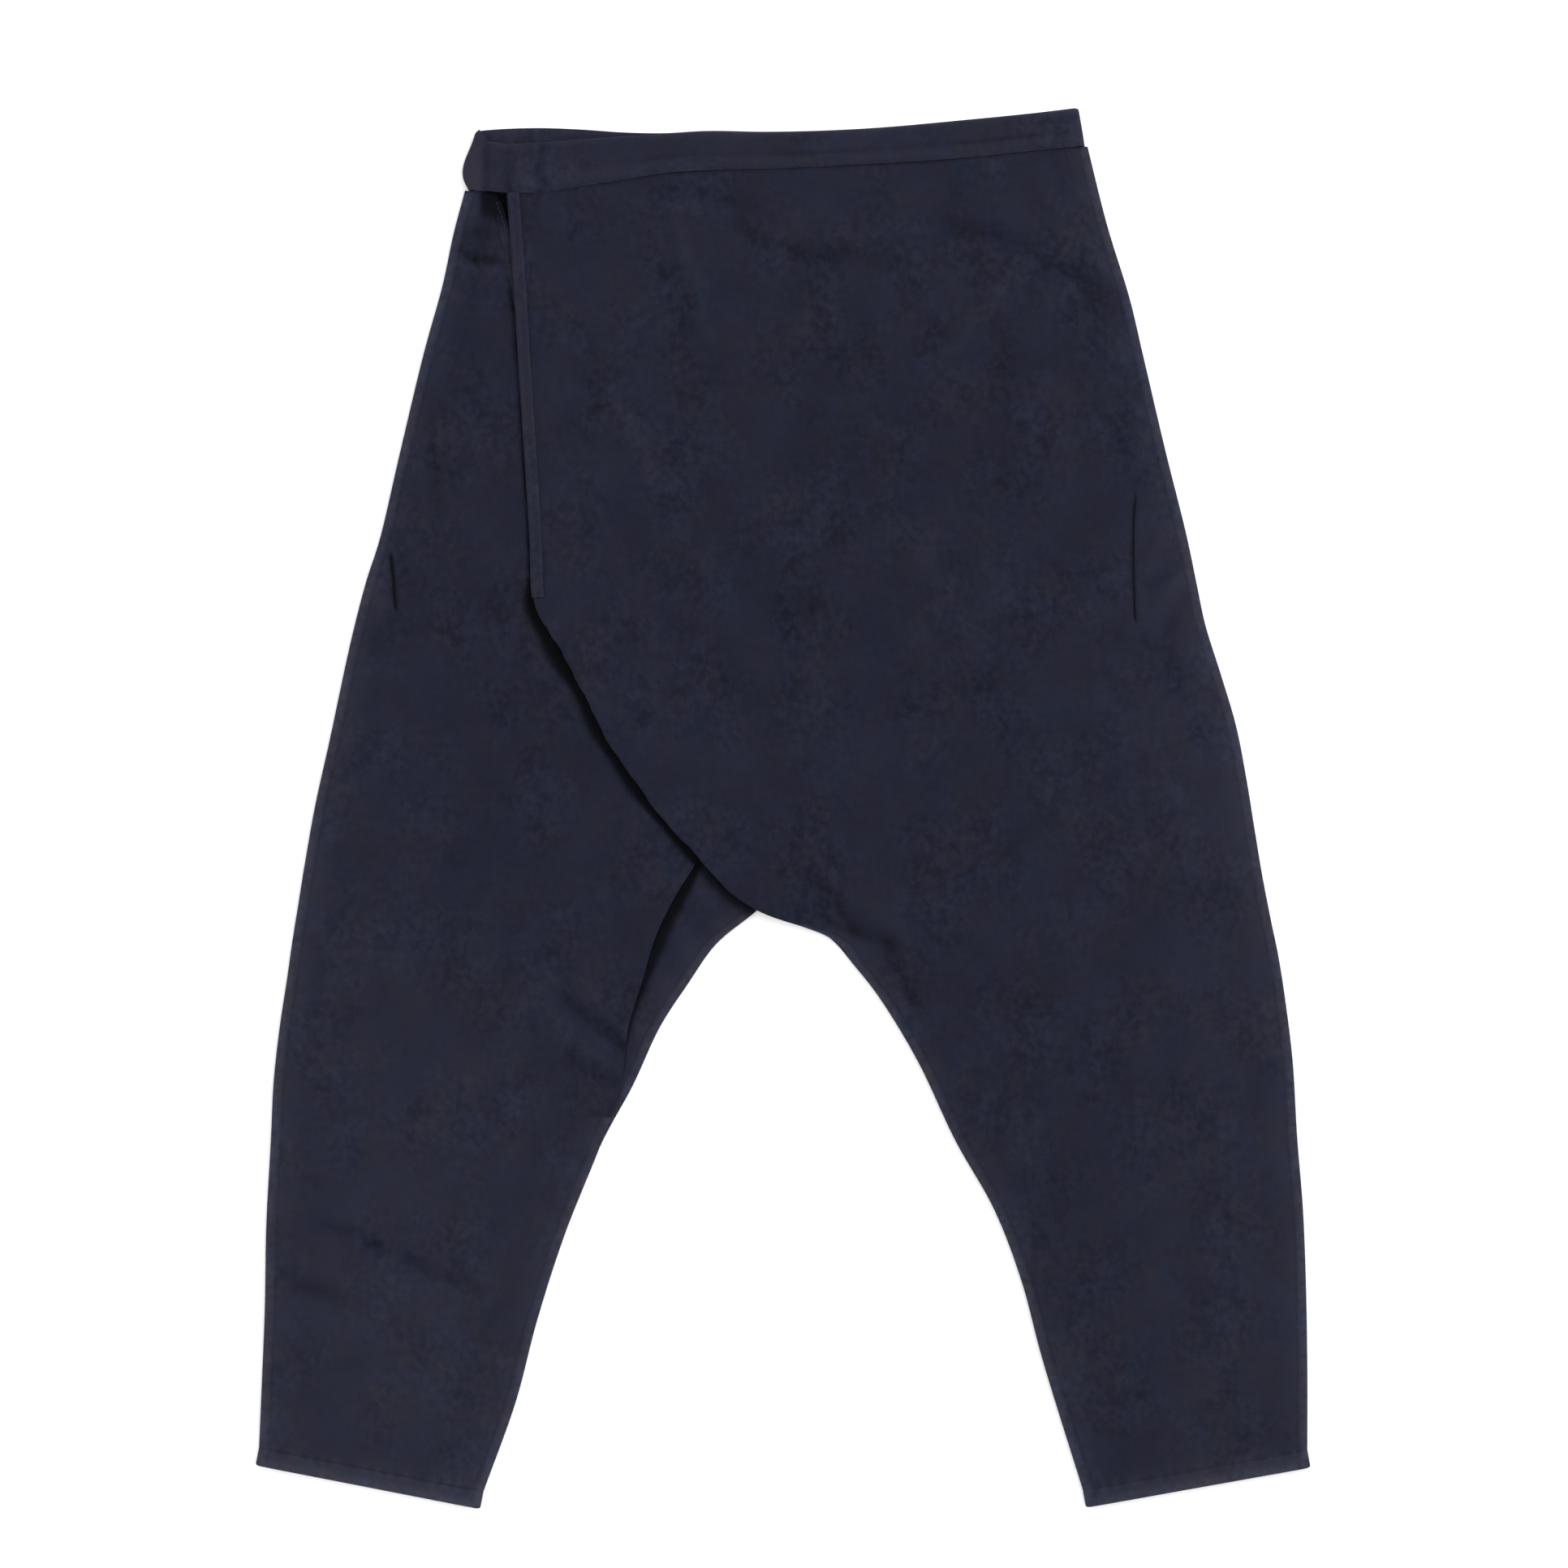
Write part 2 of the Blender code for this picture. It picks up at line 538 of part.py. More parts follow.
def waistband():
    """The waistband, a flattened loop whose front top edge dips at the wearer's right."""
    stations, radius = ring_levels(WAISTBAND_HEIGHT, WAISTBAND_CLOTH, WAISTBAND_POINTS)
    shares = np.array((1.0, 0.62, WAISTBAND_CREASE_SHARE, 0.22, 0.0))
    crease_from, crease_to = WAISTBAND_CREASE_ENDS
    inset = WAISTBAND_HEIGHT / 2
    rows = []
    for share_up in shares:
        right_side, left_side = (
            through(WAISTBAND_SIDES["height_share"], WAISTBAND_SIDES[side], share_up)
            for side in ("right_side_x", "left_side_x")
        )
        across_crease = np.exp(-(((share_up - WAISTBAND_CREASE_SHARE) / WAISTBAND_CREASE_WIDTH) ** 2))
        row = []
        for share, level, turn in stations:
            x = right_side + inset + share * (left_side - right_side - 2 * inset) + turn
            front = (level - WAISTBAND_CLOTH / 2) / (2 * radius)
            top = front * band_edge("front_top", x) + (1 - front) * band_edge("back_top", x)
            bottom = band_edge("bottom", x)
            y = bottom + share_up * (top - bottom)
            along_crease = eased((x - crease_from) / 50) * eased((crease_to - x) / 12)
            crease = WAISTBAND_CREASE_DEPTH * across_crease * along_crease * front**4
            row.append((x, y, level - crease))
        rows.append(row)
    wall("waistband", rows, WAISTBAND_CLOTH, NAVY_BAND, closed=True)


def hem(name, table, inner_name):
    """The turned hem of a leg, a flattened loop of doubled cloth."""
    outer_end = np.array((table["side_x"][-1], table["side_y"][-1]), float)
    inner_end = np.array((table[inner_name + "_x"][-1], table[inner_name + "_y"][-1]), float)
    along = unit(inner_end - outer_end)
    if along[0] < 0:
        outer_end, inner_end, along = inner_end, outer_end, -along
    down = np.array((along[1], -along[0]))
    stations, _ = ring_levels(HEM_HEIGHT, HEM_CLOTH, HEM_POINTS)
    inset = HEM_HEIGHT / 2
    width = np.linalg.norm(inner_end - outer_end)
    rows = []
    for depth in (GAP, HEM_DEPTH / 2, HEM_DEPTH):
        row = []
        for share, level, turn in stations:
            run = inset + share * (width - 2 * inset) + turn
            x, y = outer_end + along * run + down * depth
            row.append((x, y, level))
        rows.append(row)
    wall(name, rows, HEM_CLOTH, NAVY_BAND, closed=True)


def clear_scene():
    for thing in list(bpy.data.objects):
        bpy.data.objects.remove(thing)


def build():
    clear_scene()
    back_panel("back_right", RIGHT_LEG, side_first=True)
    back_panel("back_left", LEFT_LEG, side_first=False)
    front_right()
    gusset()
    front_wrap()
    placket_binding()
    under_binding()
    waistband()
    hem("hem_right", RIGHT_LEG, "back")
    hem("hem_left", LEFT_LEG, "back")


build()
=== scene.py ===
"""Looks of the wrap-front trousers: finer cloth over the frame's solids, stitches, fabric, light and camera.

Sizes are in millimetres in the frame: +Y to the waist, +Z up, -X the wearer's right leg.
"""

from collections import namedtuple

import bpy
import numpy as np
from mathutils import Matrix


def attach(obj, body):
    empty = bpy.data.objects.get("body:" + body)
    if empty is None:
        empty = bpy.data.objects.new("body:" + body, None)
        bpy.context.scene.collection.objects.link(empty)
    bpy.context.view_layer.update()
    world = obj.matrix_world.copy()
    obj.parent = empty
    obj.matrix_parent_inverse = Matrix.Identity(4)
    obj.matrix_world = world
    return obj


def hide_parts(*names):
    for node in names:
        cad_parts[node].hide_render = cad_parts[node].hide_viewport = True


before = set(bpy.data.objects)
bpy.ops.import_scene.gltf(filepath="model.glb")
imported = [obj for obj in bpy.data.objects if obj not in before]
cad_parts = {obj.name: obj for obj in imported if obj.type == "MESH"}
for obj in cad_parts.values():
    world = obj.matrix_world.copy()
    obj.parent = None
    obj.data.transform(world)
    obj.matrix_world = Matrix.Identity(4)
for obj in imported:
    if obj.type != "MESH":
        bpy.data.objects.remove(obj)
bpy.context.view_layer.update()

MM = 0.001

# Cloth and levels
CLOTH = 0.9
BACK_LEVEL = CLOTH / 2
FRONT_LEVEL = 4.8
FRONT_AT_WAIST = 6.45
TUCKED_LEVEL = 3.7
LOWEST_OVER_BACK = 2.1
SEAM_LEVEL = 2.2
SEAM_GAP = 0.3
SEAM_TURN = 1.45
EDGE_LEVEL = SEAM_LEVEL + SEAM_GAP / 2 + SEAM_TURN
EDGE_SLOPE = 16.0
WRAP_SLOPE = 125.0
WAIST_SLOPE = 60.0
TUCK_DEPTH = 12.0
TUCK_INSET = 9.0
HEM_DEPTH = 12.0
HEM_TURN = 0.75
HEM_RETURN = 14.0
POCKET_DEPTH = 1.5
POCKET_HALF = 0.9
BAND_LAYER = 0.9
BAND_WALL = BAND_LAYER + CLOTH / 2
WAIST_TUCK = 5.0
BAND_TURN = 2.7
BAND_HEIGHT = 7.8
STITCH = 2.7
STITCH_PITCH = 3.3
STITCH_WIDTH = 0.5
STITCH_PROUD = 0.22

# The waistband, from the wearer's right to the left: its lower edge, and its two top edges
BAND = {
    "x": (-220, -205, -190, -171, -139, -110, -82, -55, -11, 53, 124, 187, 207),
    "bottom": (426, 425, 424, 423.5, 428, 432.5, 437, 439, 440, 443, 447.5, 454, 456),
    "front_top": (463, 459, 457, 457.5, 460, 462, 463.5, 465, 464.5, 466.5, 472.5, 479, 481),
    "back_top": (465, 467, 468, 468.5, 467.5, 465.5, 465, 466.5, 466, 468, 474, 480.5, 483),
}
BAND_SIDES = {
    "share": (0.0, 0.15, 1.0),
    "right_x": (-217, -220, -213),
    "left_x": (207.5, 207, 203.5),
}
BAND_CREASE = 0.42

RIGHT_LEG = {
    "side_x": (-219, -227, -235, -248, -264, -277, -288, -299, -312, -322,
               -329, -334, -338, -342, -347, -351, -353, -356, -357, -359, -361),
    "side_y": (421, 394, 358, 311, 244, 188, 153, 109, 48, 3,
               -36, -67, -92, -120, -153, -190, -232, -288, -344, -395, -441),
    "back_x": (-2, -2, -2, -2, -2, -2, -2, -2, -2, -2,
               -2, -18, -46, -66, -86, -104, -127, -151, -170, -185, -207),
    "back_y": (438, 398, 356, 305, 238, 177, 132, 87, 37, -5,
               -52, -70, -93, -121, -152, -191, -234, -294, -353, -410, -471),
    "front_x": (-198, -188.5, -181.5, -170, -142, -120, -108, -92, -64, -45,
                -58.5, -75, -88, -97, -107, -112, -127, -151, -170, -185, -207),
    "front_y": (424, 394, 358, 311, 244, 182, 132, 87, 34, -4,
                -35, -62, -89, -119, -152, -192, -234, -294, -353, -410, -471),
    "front_lift": (0, 0, 0, 0, 0, 0, 0, 0, 0, 0.4,
                   1.2, 1.8, 1.6, 0.8, 0.2, 0, 0, 0, 0, 0, 0),
    "inner_seam": (0, 0, 0, 0, 0, 0, 0, 0, 0, 0,
                   0, 0, 0, 0, 0, 0, 1, 1, 1, 1, 1),
    "back_inner_turn": (0, 0, 0, 0, 0, 0, 0, 0, 0, 0,
                        0, 1, 1, 1, 1, 1, 1, 1, 1, 1, 1),
    "pocket_inset": (8, 10, 10, 10, 10, 8, 20, 34, 36, 36,
                     36, 36, 36, 36, 36, 36, 36, 36, 36, 36, 36),
}
RIGHT_POCKET_ROWS = (5.25, 6.4)
GUSSET_ROWS = (9.7, 16.0)
# Gusset rows: how far it lies under the leg's front, the width of its dark slit (painted shade and dip), and how far it
# rises
GUSSET = {
    "row": (9.7, 10.2, 10.7, 11.3, 12.0, 12.5, 13.0, 13.5, 14.0, 14.4, 15.0, 16.0),
    "underlap": (14, 14, 14, 14, 14, 13, 12, 9, 7, 6, 5, 4),
    "dark": (3.0, 6.5, 9.5, 11.5, 13.5, 10.0, 7.0, 5.2, 3.6, 2.2, 1.2, 1.0),
    "rise": (1, 1, 1, 1, 1, 1, 1, 1, 0.8, 0.5, 0.1, 0),
}

LEFT_LEG = {
    "side_x": (209.5, 223, 238, 248, 263, 277, 285, 291, 302, 312, 319,
               325, 330, 336, 341, 346, 351, 354, 358, 360, 361, 361),
    "side_y": (453, 401, 353, 311, 247, 191, 153, 125, 90, 56, 20,
               -17, -47, -78, -102, -134, -176, -227, -277, -327, -383, -442.5),
    "back_x": (0, 0, 0, 0, 0, 0, 0, 0, 0, 0, 0,
               0, 3, 32, 49, 69, 94, 119, 146, 165, 180, 207),
    "back_y": (438, 395, 350, 305, 244, 188, 143, 110, 76, 39, 3,
               -38, -71, -89, -108, -134, -176, -229, -277, -327, -383, -470),
    "wrap_x": (-189, -186.5, -183.5, -181, -177, -173.5, -171, -159, -142, -123, -95,
               -62, -23, 32, 49, 69, 94, 119, 146, 165, 180, 207),
    "wrap_y": (423, 389, 347, 305, 244, 188, 142, 119, 89, 51, 9,
               -30, -67.5, -89, -108, -134, -176, -229, -277, -327, -383, -470),
    "fold_level": (5.3, 5.7, 6.6, 6.8, 6.8, 6.8, 7.4, 9.0, 8.4, 7.6, 7.8,
                   8.2, 6.4, 4, 4, 4, 4, 4, 4, 4, 4, 4),
    "fold_radius": (0.8, 0.8, 0.8, 0.8, 0.8, 0.8, 1.2, 1.8, 1.7, 1.6, 1.6,
                    1.6, 1.2, 1, 1, 1, 1, 1, 1, 1, 1, 1),
    "turned_under": (8, 8, 8, 8, 8, 8, 10, 18, 24, 27, 26,
                     16, 5, 4, 4, 4, 4, 4, 4, 4, 4, 4),
    "inner_seam": (0, 0, 0, 0, 0, 0, 0, 0, 0, 0, 0,
                   0, 0, 1, 1, 1, 1, 1, 1, 1, 1, 1),
    "back_inner_turn": (0, 0, 0, 0, 0, 0, 0, 0, 0, 0, 0,
                        0, 0, 1, 1, 1, 1, 1, 1, 1, 1, 1),
    "pocket_inset": (20, 20, 20, 20, 20.5, 36, 43.5, 47.5, 48, 46, 44,
                     42, 42, 40, 40, 40, 40, 40, 40, 40, 40, 40),
}
LEFT_POCKET_ROWS = (4.4, 7.0)
BINDING_ROWS = (0.0, 5.95)
UNDER_BINDING_ROWS = (0.2, 2.4)

# Soft folds: a ridge rises, a trough has a negative rise; tone paints shade (negative) and highlight (positive) on the
# fold
Fold = namedtuple("Fold", "start_x start_y end_x end_y half_width rise tone")
RIGHT_FOLDS = (
    Fold(-214, 400, -203, 385, 7, 2.2, 0.05),
    Fold(-228, 391, -214, 378, 5, -1.4, -0.3),
    Fold(-214, 378, -201, 374, 4, -1.0, -0.26),
    Fold(-222, 378, -196, 369, 4, 1.4, 0.15),
    Fold(-216, 364, -192, 352, 8, -0.8, -0.08),
    Fold(-147, -131, -110, -166, 5, -1.6, -0.3),
    Fold(-147, -172, -117, -190, 5, -1.0, -0.2),
    Fold(-137, -124, -106, -156, 5, 1.2, 0.12),
    Fold(-142, -160, -112, -180, 4, 0.9, 0.1),
    Fold(-170, -120, -150, -160, 10, 0.7, 0.05),
    Fold(-316, -285, -284, -300, 5, -1.2, -0.25),
    Fold(-284, -300, -253, -313, 5, -1.1, -0.17),
    Fold(-253, -313, -212, -333, 6, -1.0, -0.2),
    Fold(-312, -298, -230, -340, 8, 1.1, 0.06),
    Fold(-342, -324, -318, -332, 6, -1.0, -0.2),
    Fold(-318, -334, -292, -341, 6, -0.9, -0.16),
    Fold(-330, -352, -262, -366, 9, 0.8, 0.06),
    Fold(-348, -384, -292, -386, 7, -0.6, -0.1),
    Fold(-246, 276, -237, 205, 5, -0.9, -0.12),
    Fold(-254, 262, -246, 200, 6, 0.7, 0.06),
    Fold(-160, 78, -140, 44, 12, -0.7, -0.1),
    Fold(-278, -96, -250, -130, 16, 0.8, 0.08),
    Fold(-288, 168, -276, 132, 5, 0.9, 0.16),
    Fold(-276, 128, -286, 108, 5, -0.8, -0.14),
    Fold(-300, 60, -318, -20, 9, 0.8, 0.08),
    Fold(-200, 20, -230, -70, 18, -0.7, -0.06),
    Fold(-304, -30, -322, -120, 8, -0.6, -0.08),
)
WRAP_FOLDS = (
    Fold(-77, 427, -22, 414, 6, -1.2, -0.14),
    Fold(-29, 399, 11, 382, 6, -1.3, -0.15),
    Fold(11, 382, 68, 378, 7, -1.4, -0.17),
    Fold(-30, 384, 40, 364, 9, 0.9, 0.05),
    Fold(114, 399, 163, 391, 7, -1.3, -0.18),
    Fold(172, 382, 202, 370, 6, -0.9, -0.13),
    Fold(204, 368, 234, 343, 8, -1.2, -0.2),
    Fold(176, 372, 148, 300, 8, -0.8, -0.1),
    Fold(148, 353, 114, 315, 5, 0.9, 0.12),
    Fold(166, 392, 186, 340, 5, 0.8, 0.09),
    Fold(210, 384, 238, 356, 5, 0.8, 0.1),
    Fold(-74, 398, -68, 386, 5, 0.8, 0.14),
    Fold(-69, 382, -49, 325, 5, 1.1, 0.14),
    Fold(-80, 366, -62, 306, 8, -0.6, -0.06),
    Fold(-141, 303, -109, 254, 6, -0.9, -0.12),
    Fold(-113, 272, -88, 228, 6, 1.1, 0.14),
    Fold(-125, 192, -96, 132, 8, 0.8, 0.09),
    Fold(18, -44, 50, -85, 6, -1.5, -0.15),
    Fold(50, -85, 74, -94, 6, -1.6, -0.25),
    Fold(74, -95, 87, -131, 5, -1.4, -0.24),
    Fold(36, -50, 96, -98, 7, 1.0, 0.07),
    Fold(-100, 100, 20, 20, 16, 0.9, 0.02),
    Fold(150, -272, 166, -306, 9, 1.2, 0.1),
    Fold(238, 90, 266, -10, 16, 0.8, 0.06),
    Fold(252, 112, 272, 90, 5, -0.9, -0.14),
    Fold(246, 32, 254, -10, 6, -0.7, -0.11),
    Fold(96, 180, 124, 120, 12, 0.7, 0.08),
    Fold(236, -140, 190, -300, 22, -0.8, -0.05),
    Fold(30, 330, 76, 250, 30, -0.8, -0.06),
    Fold(246, -180, 262, -260, 14, 0.8, 0.05),
    Fold(250, 166, 268, 190, 4, 0.8, 0.16),
    Fold(254, 150, 276, 172, 4, -0.7, -0.16),
    Fold(257, 134, 278, 162, 4, 0.8, 0.18),
    Fold(262, 120, 280, 144, 4, -0.7, -0.16),
    Fold(178, 440, 206, 360, 5, 0.6, 0.1),
    Fold(-40, -20, 20, -60, 14, -0.7, -0.06),
    Fold(230, -20, 262, -100, 12, -0.8, -0.06),
    Fold(-30, 150, 40, 132, 9, -0.6, -0.06),
    Fold(280, -330, 330, -352, 9, -0.7, -0.08),
)

BACK_FOLDS = (
    Fold(-120, 380, -60, 300, 12, 0.5, -0.2),
    Fold(60, 360, 120, 250, 14, 0.5, -0.2),
    Fold(-90, -60, -150, -170, 12, 0.6, -0.25),
    Fold(40, -50, 110, -140, 12, 0.6, -0.25),
    Fold(-320, -260, -220, -300, 10, 0.5, -0.2),
    Fold(180, -290, 300, -310, 11, 0.5, -0.2),
)

# Light and cloth colour
NAVY = (0.0082, 0.0090, 0.0172)
NAVY_BAND = (0.0102, 0.0107, 0.0196)
THREAD = (0.0200, 0.0205, 0.0350)
WORLD_STRENGTH = 1.35
KEY_STRENGTH = 38.0
PIXEL = 0.56
CAMERA_PLACE = (0.00056, 0.01652, 3.0055)
CAMERA_LENS = 100.0

PER_STEP = 13
BACK_PER_STEP = 8


def through(knots, values, places):
    """Smooth curve through values at knots, read at places."""
    knots = np.asarray(knots, float)
    values = np.asarray(values, float)
    slopes = np.gradient(values, knots, axis=0)
    places = np.clip(np.asarray(places, float), knots[0], knots[-1])
    if values.ndim > 1:
        places = np.atleast_1d(places)
    k = np.clip(np.searchsorted(knots, places, side="right") - 1, 0, len(knots) - 2)
    step = knots[k + 1] - knots[k]
    step = step.reshape(step.shape + (1,) * (values.ndim - 1))
    t = (places - knots[k]).reshape(step.shape) / step
    return (
        (2 * t**3 - 3 * t**2 + 1) * values[k]
        + (t**3 - 2 * t**2 + t) * step * slopes[k]
        + (3 * t**2 - 2 * t**3) * values[k + 1]
        + (t**3 - t**2) * step * slopes[k + 1]
    )


def column(table, name, rows):
    return through(np.arange(len(table[name])), table[name], rows)


def straight(table, name, rows):
    return np.interp(rows, np.arange(len(table[name])), table[name])


def eased(value):
    value = np.clip(value, 0, 1)
    return value * value * (3 - 2 * value)


def band_edge(name, x):
    return through(BAND["x"], BAND[name], x)


def unit(vectors):
    return vectors / np.maximum(np.linalg.norm(vectors, axis=-1, keepdims=True), 1e-9)


def seam_profile(angle):
    return SEAM_TURN * (1 - np.cos(angle)), -SEAM_TURN * (1 - np.sin(angle))


def crown(inset):
    share = np.clip((inset - SEAM_TURN) / EDGE_SLOPE, 0, 1)
    return (FRONT_LEVEL - EDGE_LEVEL) * (1 - (1 - share) ** 2)


def folds_at(folds, x, y):
    """(height, tone) of a table of soft folds at points of a front; the tone is painted shade and highlight."""
    height = np.zeros_like(x)
    tone = np.zeros_like(x)
    for fold in folds:
        along = np.array((fold.end_x - fold.start_x, fold.end_y - fold.start_y), float)
        length = np.hypot(*along)
        along /= length
        run = (x - fold.start_x) * along[0] + (y - fold.start_y) * along[1]
        off = (x - fold.start_x) * along[1] - (y - fold.start_y) * along[0]
        off = off + 1.6 * np.sin(run / 11 + fold.start_x)
        past = np.maximum(np.maximum(-run, run - length), 0) / 1.4
        shape = np.exp(-(off**2 + past**2) / fold.half_width**2)
        height += fold.rise * shape
        tone += 1.5 * fold.tone * shape
    return height, tone


# Painted light: broad areas made lighter or darker where the light falls unevenly: middle, reach each way, change
PaintedLight = namedtuple("PaintedLight", "x y reach_x reach_y tone")
PAINTED_LIGHT_AREAS = (
    PaintedLight(-275, -330, 150, 240, 0.42),
    PaintedLight(-230, -460, 130, 90, 0.16),
    PaintedLight(-330, -20, 60, 160, 0.14),
    PaintedLight(320, -330, 110, 220, 0.24),
    PaintedLight(310, 40, 70, 150, 0.26),
    PaintedLight(270, 420, 60, 90, 0.12),
    PaintedLight(40, 190, 120, 110, -0.05),
    PaintedLight(20, 420, 110, 60, 0.05),
    PaintedLight(-150, 240, 40, 90, 0.04),
)


def painted_light_at(x, y):
    tone = np.zeros_like(x)
    for light_area in PAINTED_LIGHT_AREAS:
        tone += light_area.tone * np.exp(-(((x - light_area.x) / light_area.reach_x) ** 2) - ((y - light_area.y) / light_area.reach_y) ** 2)
    return tone


def undulation(x, y):
    """Small uneven rises over the whole cloth."""
    return (
        0.16 * np.sin(x / 23 + 1.3 * np.sin(y / 61))
        + 0.14 * np.sin(y / 31 + 1.7 * np.sin(x / 47))
        + 0.08 * np.sin((x + y) / 13 + 1.1 * np.sin((x - y) / 29))
    )


def below_waistband(x, y, rows, gap=0.3):
    share = np.clip(1 - rows[:, None] / 2, 0, 1) ** 2
    return y + share * (band_edge("bottom", x) - gap - y[:1])


def line_distance(x, y, line):
    """Distance of points from a chain of straight stretches."""
    line = np.asarray(line, float)
    best = np.full(np.shape(x), 1e9)
    for a, b in zip(line[:-1], line[1:]):
        span = b - a
        t = ((x - a[0]) * span[0] + (y - a[1]) * span[1]) / (span @ span)
        t = np.clip(t, 0, 1)
        best = np.minimum(best, np.hypot(x - a[0] - t * span[0], y - a[1] - t * span[1]))
    return best


def section_lines(table, rows, first_name, last_name):
    first, last = (
        np.stack([column(table, end + "_x", rows), column(table, end + "_y", rows)], 1)
        for end in (first_name, last_name)
    )
    return first, last, np.linalg.norm(last - first, axis=1)


def lean(edge, far_edge):
    along, across = unit(np.gradient(edge, axis=0)), unit(far_edge - edge)
    return 1 / np.maximum(abs(along[:, 0] * across[:, 1] - along[:, 1] * across[:, 0]), 0.35)


def plan(first, last, lengths, insets):
    share = insets / lengths[:, None]
    return first[:, None] * (1 - share[..., None]) + last[:, None] * share[..., None]


def grid_normals(grid, closed, upright_first, upright_last):
    down = np.gradient(grid, axis=0)
    if closed:
        across = np.roll(grid, -1, axis=1) - np.roll(grid, 1, axis=1)
    else:
        across = np.gradient(grid, axis=1)
    for place, share in ((0, upright_first), (-1, upright_last)):
        if share is None:
            continue
        rise = np.sign(across[:, place, 2:]) * np.array((0.0, 0.0, 1.0))
        level = np.asarray(share, float)[:, None]
        across[:, place] = (1 - level) * unit(across[:, place]) + level * rise
        down[:, place, 2] *= 1 - level[:, 0]
    return unit(np.cross(down, across))


def cell_area(grid, closed):
    """Area of the middle surface, in square metres."""
    if closed:
        grid = np.concatenate([grid, grid[:, :1]], 1)
    a = grid[1:, 1:] - grid[:-1, :-1]
    b = grid[1:, :-1] - grid[:-1, 1:]
    return float(np.linalg.norm(np.cross(a, b), axis=2).sum() / 2) * MM * MM


def cloth(name, grid, material, thickness=CLOTH, closed=False, upright=(None, None), cut=None, marks=(), one_sided=("painted_shade",)):
    """A closed wall of cloth round a grid of points, with its flat pattern and its marks."""
    grid = np.asarray(grid, float)
    rows, columns = grid.shape[:2]
    normals = grid_normals(grid, closed, *upright)
    both = np.concatenate([grid + normals * thickness / 2, grid - normals * thickness / 2])
    points = both.reshape(-1, 3) * MM
    points[:, 2] = np.maximum(points[:, 2], 0)
    count = rows * columns
    index = np.arange(count).reshape(rows, columns)
    if closed:
        index = np.concatenate([index, index[:, :1]], 1)
    a, b, c, d = index[:-1, :-1], index[1:, :-1], index[1:, 1:], index[:-1, 1:]
    faces = [np.stack([a, b, c, d], -1).reshape(-1, 4), count + np.stack([d, c, b, a], -1).reshape(-1, 4)]
    top, low = index[0], index[-1]
    faces.append(np.stack([top[:-1], top[1:], count + top[1:], count + top[:-1]], 1))
    faces.append(np.stack([low[1:], low[:-1], count + low[:-1], count + low[1:]], 1))
    if not closed:
        near, far = index[:, 0], index[:, -1]
        faces.append(np.stack([near[1:], near[:-1], count + near[:-1], count + near[1:]], 1))
        faces.append(np.stack([far[:-1], far[1:], count + far[1:], count + far[:-1]], 1))
    faces = np.concatenate(faces)
    mesh = bpy.data.meshes.new(name)
    mesh.from_pydata(points.tolist(), [], faces.tolist())
    cut = grid[..., :2] if cut is None else cut
    flat = np.tile(np.asarray(cut, float).reshape(-1, 2) * MM, (2, 1))
    layer = mesh.uv_layers.new(name="cut")
    layer.data.foreach_set("uv", flat[faces.reshape(-1)].reshape(-1))
    marks = dict(marks)
    marks.setdefault("rim", marks["edge"])
    for key, values in marks.items():
        values = np.broadcast_to(np.asarray(values, float), (rows, columns)).reshape(-1)
        mark = mesh.attributes.new(key, "FLOAT", "POINT")
        other = values * 0 if key in one_sided else values
        mark.data.foreach_set("value", np.concatenate([values, other]))
    mesh.materials.append(material)
    mesh.shade_smooth()
    mesh.set_sharp_from_angle(angle=np.radians(55))
    piece = bpy.data.objects.new(name, mesh)
    bpy.context.scene.collection.objects.link(piece)
    return piece


def node(tree, kind, inputs=None, **settings):
    made = tree.nodes.new("ShaderNode" + kind)
    for key, value in settings.items():
        setattr(made, key, value)
    for key, value in (inputs or {}).items():
        if isinstance(value, bpy.types.NodeSocket):
            tree.links.new(value, made.inputs[key])
        else:
            made.inputs[key].default_value = value
    return made.outputs


def arithmetic(tree, operation, a, b=0.0, c=0.0):
    return node(tree, "Math", {0: a, 1: b, 2: c}, operation=operation)[0]


def ramp(tree, value, low, high, to_low, to_high):
    return node(
        tree,
        "MapRange",
        {"Value": value, "From Min": low, "From Max": high, "To Min": to_low, "To Max": to_high},
        interpolation_type="SMOOTHSTEP",
    )[0]


def stretched_noise(tree, uv, scale, detail=2.0, rough=0.5, offset=0.0):
    place = node(tree, "Mapping", {"Vector": uv, "Scale": (*scale, 1.0), "Location": (offset, offset, offset)})[0]
    return node(tree, "TexNoise", {"Vector": place, "Scale": 1.0, "Detail": detail, "Roughness": rough})[0]


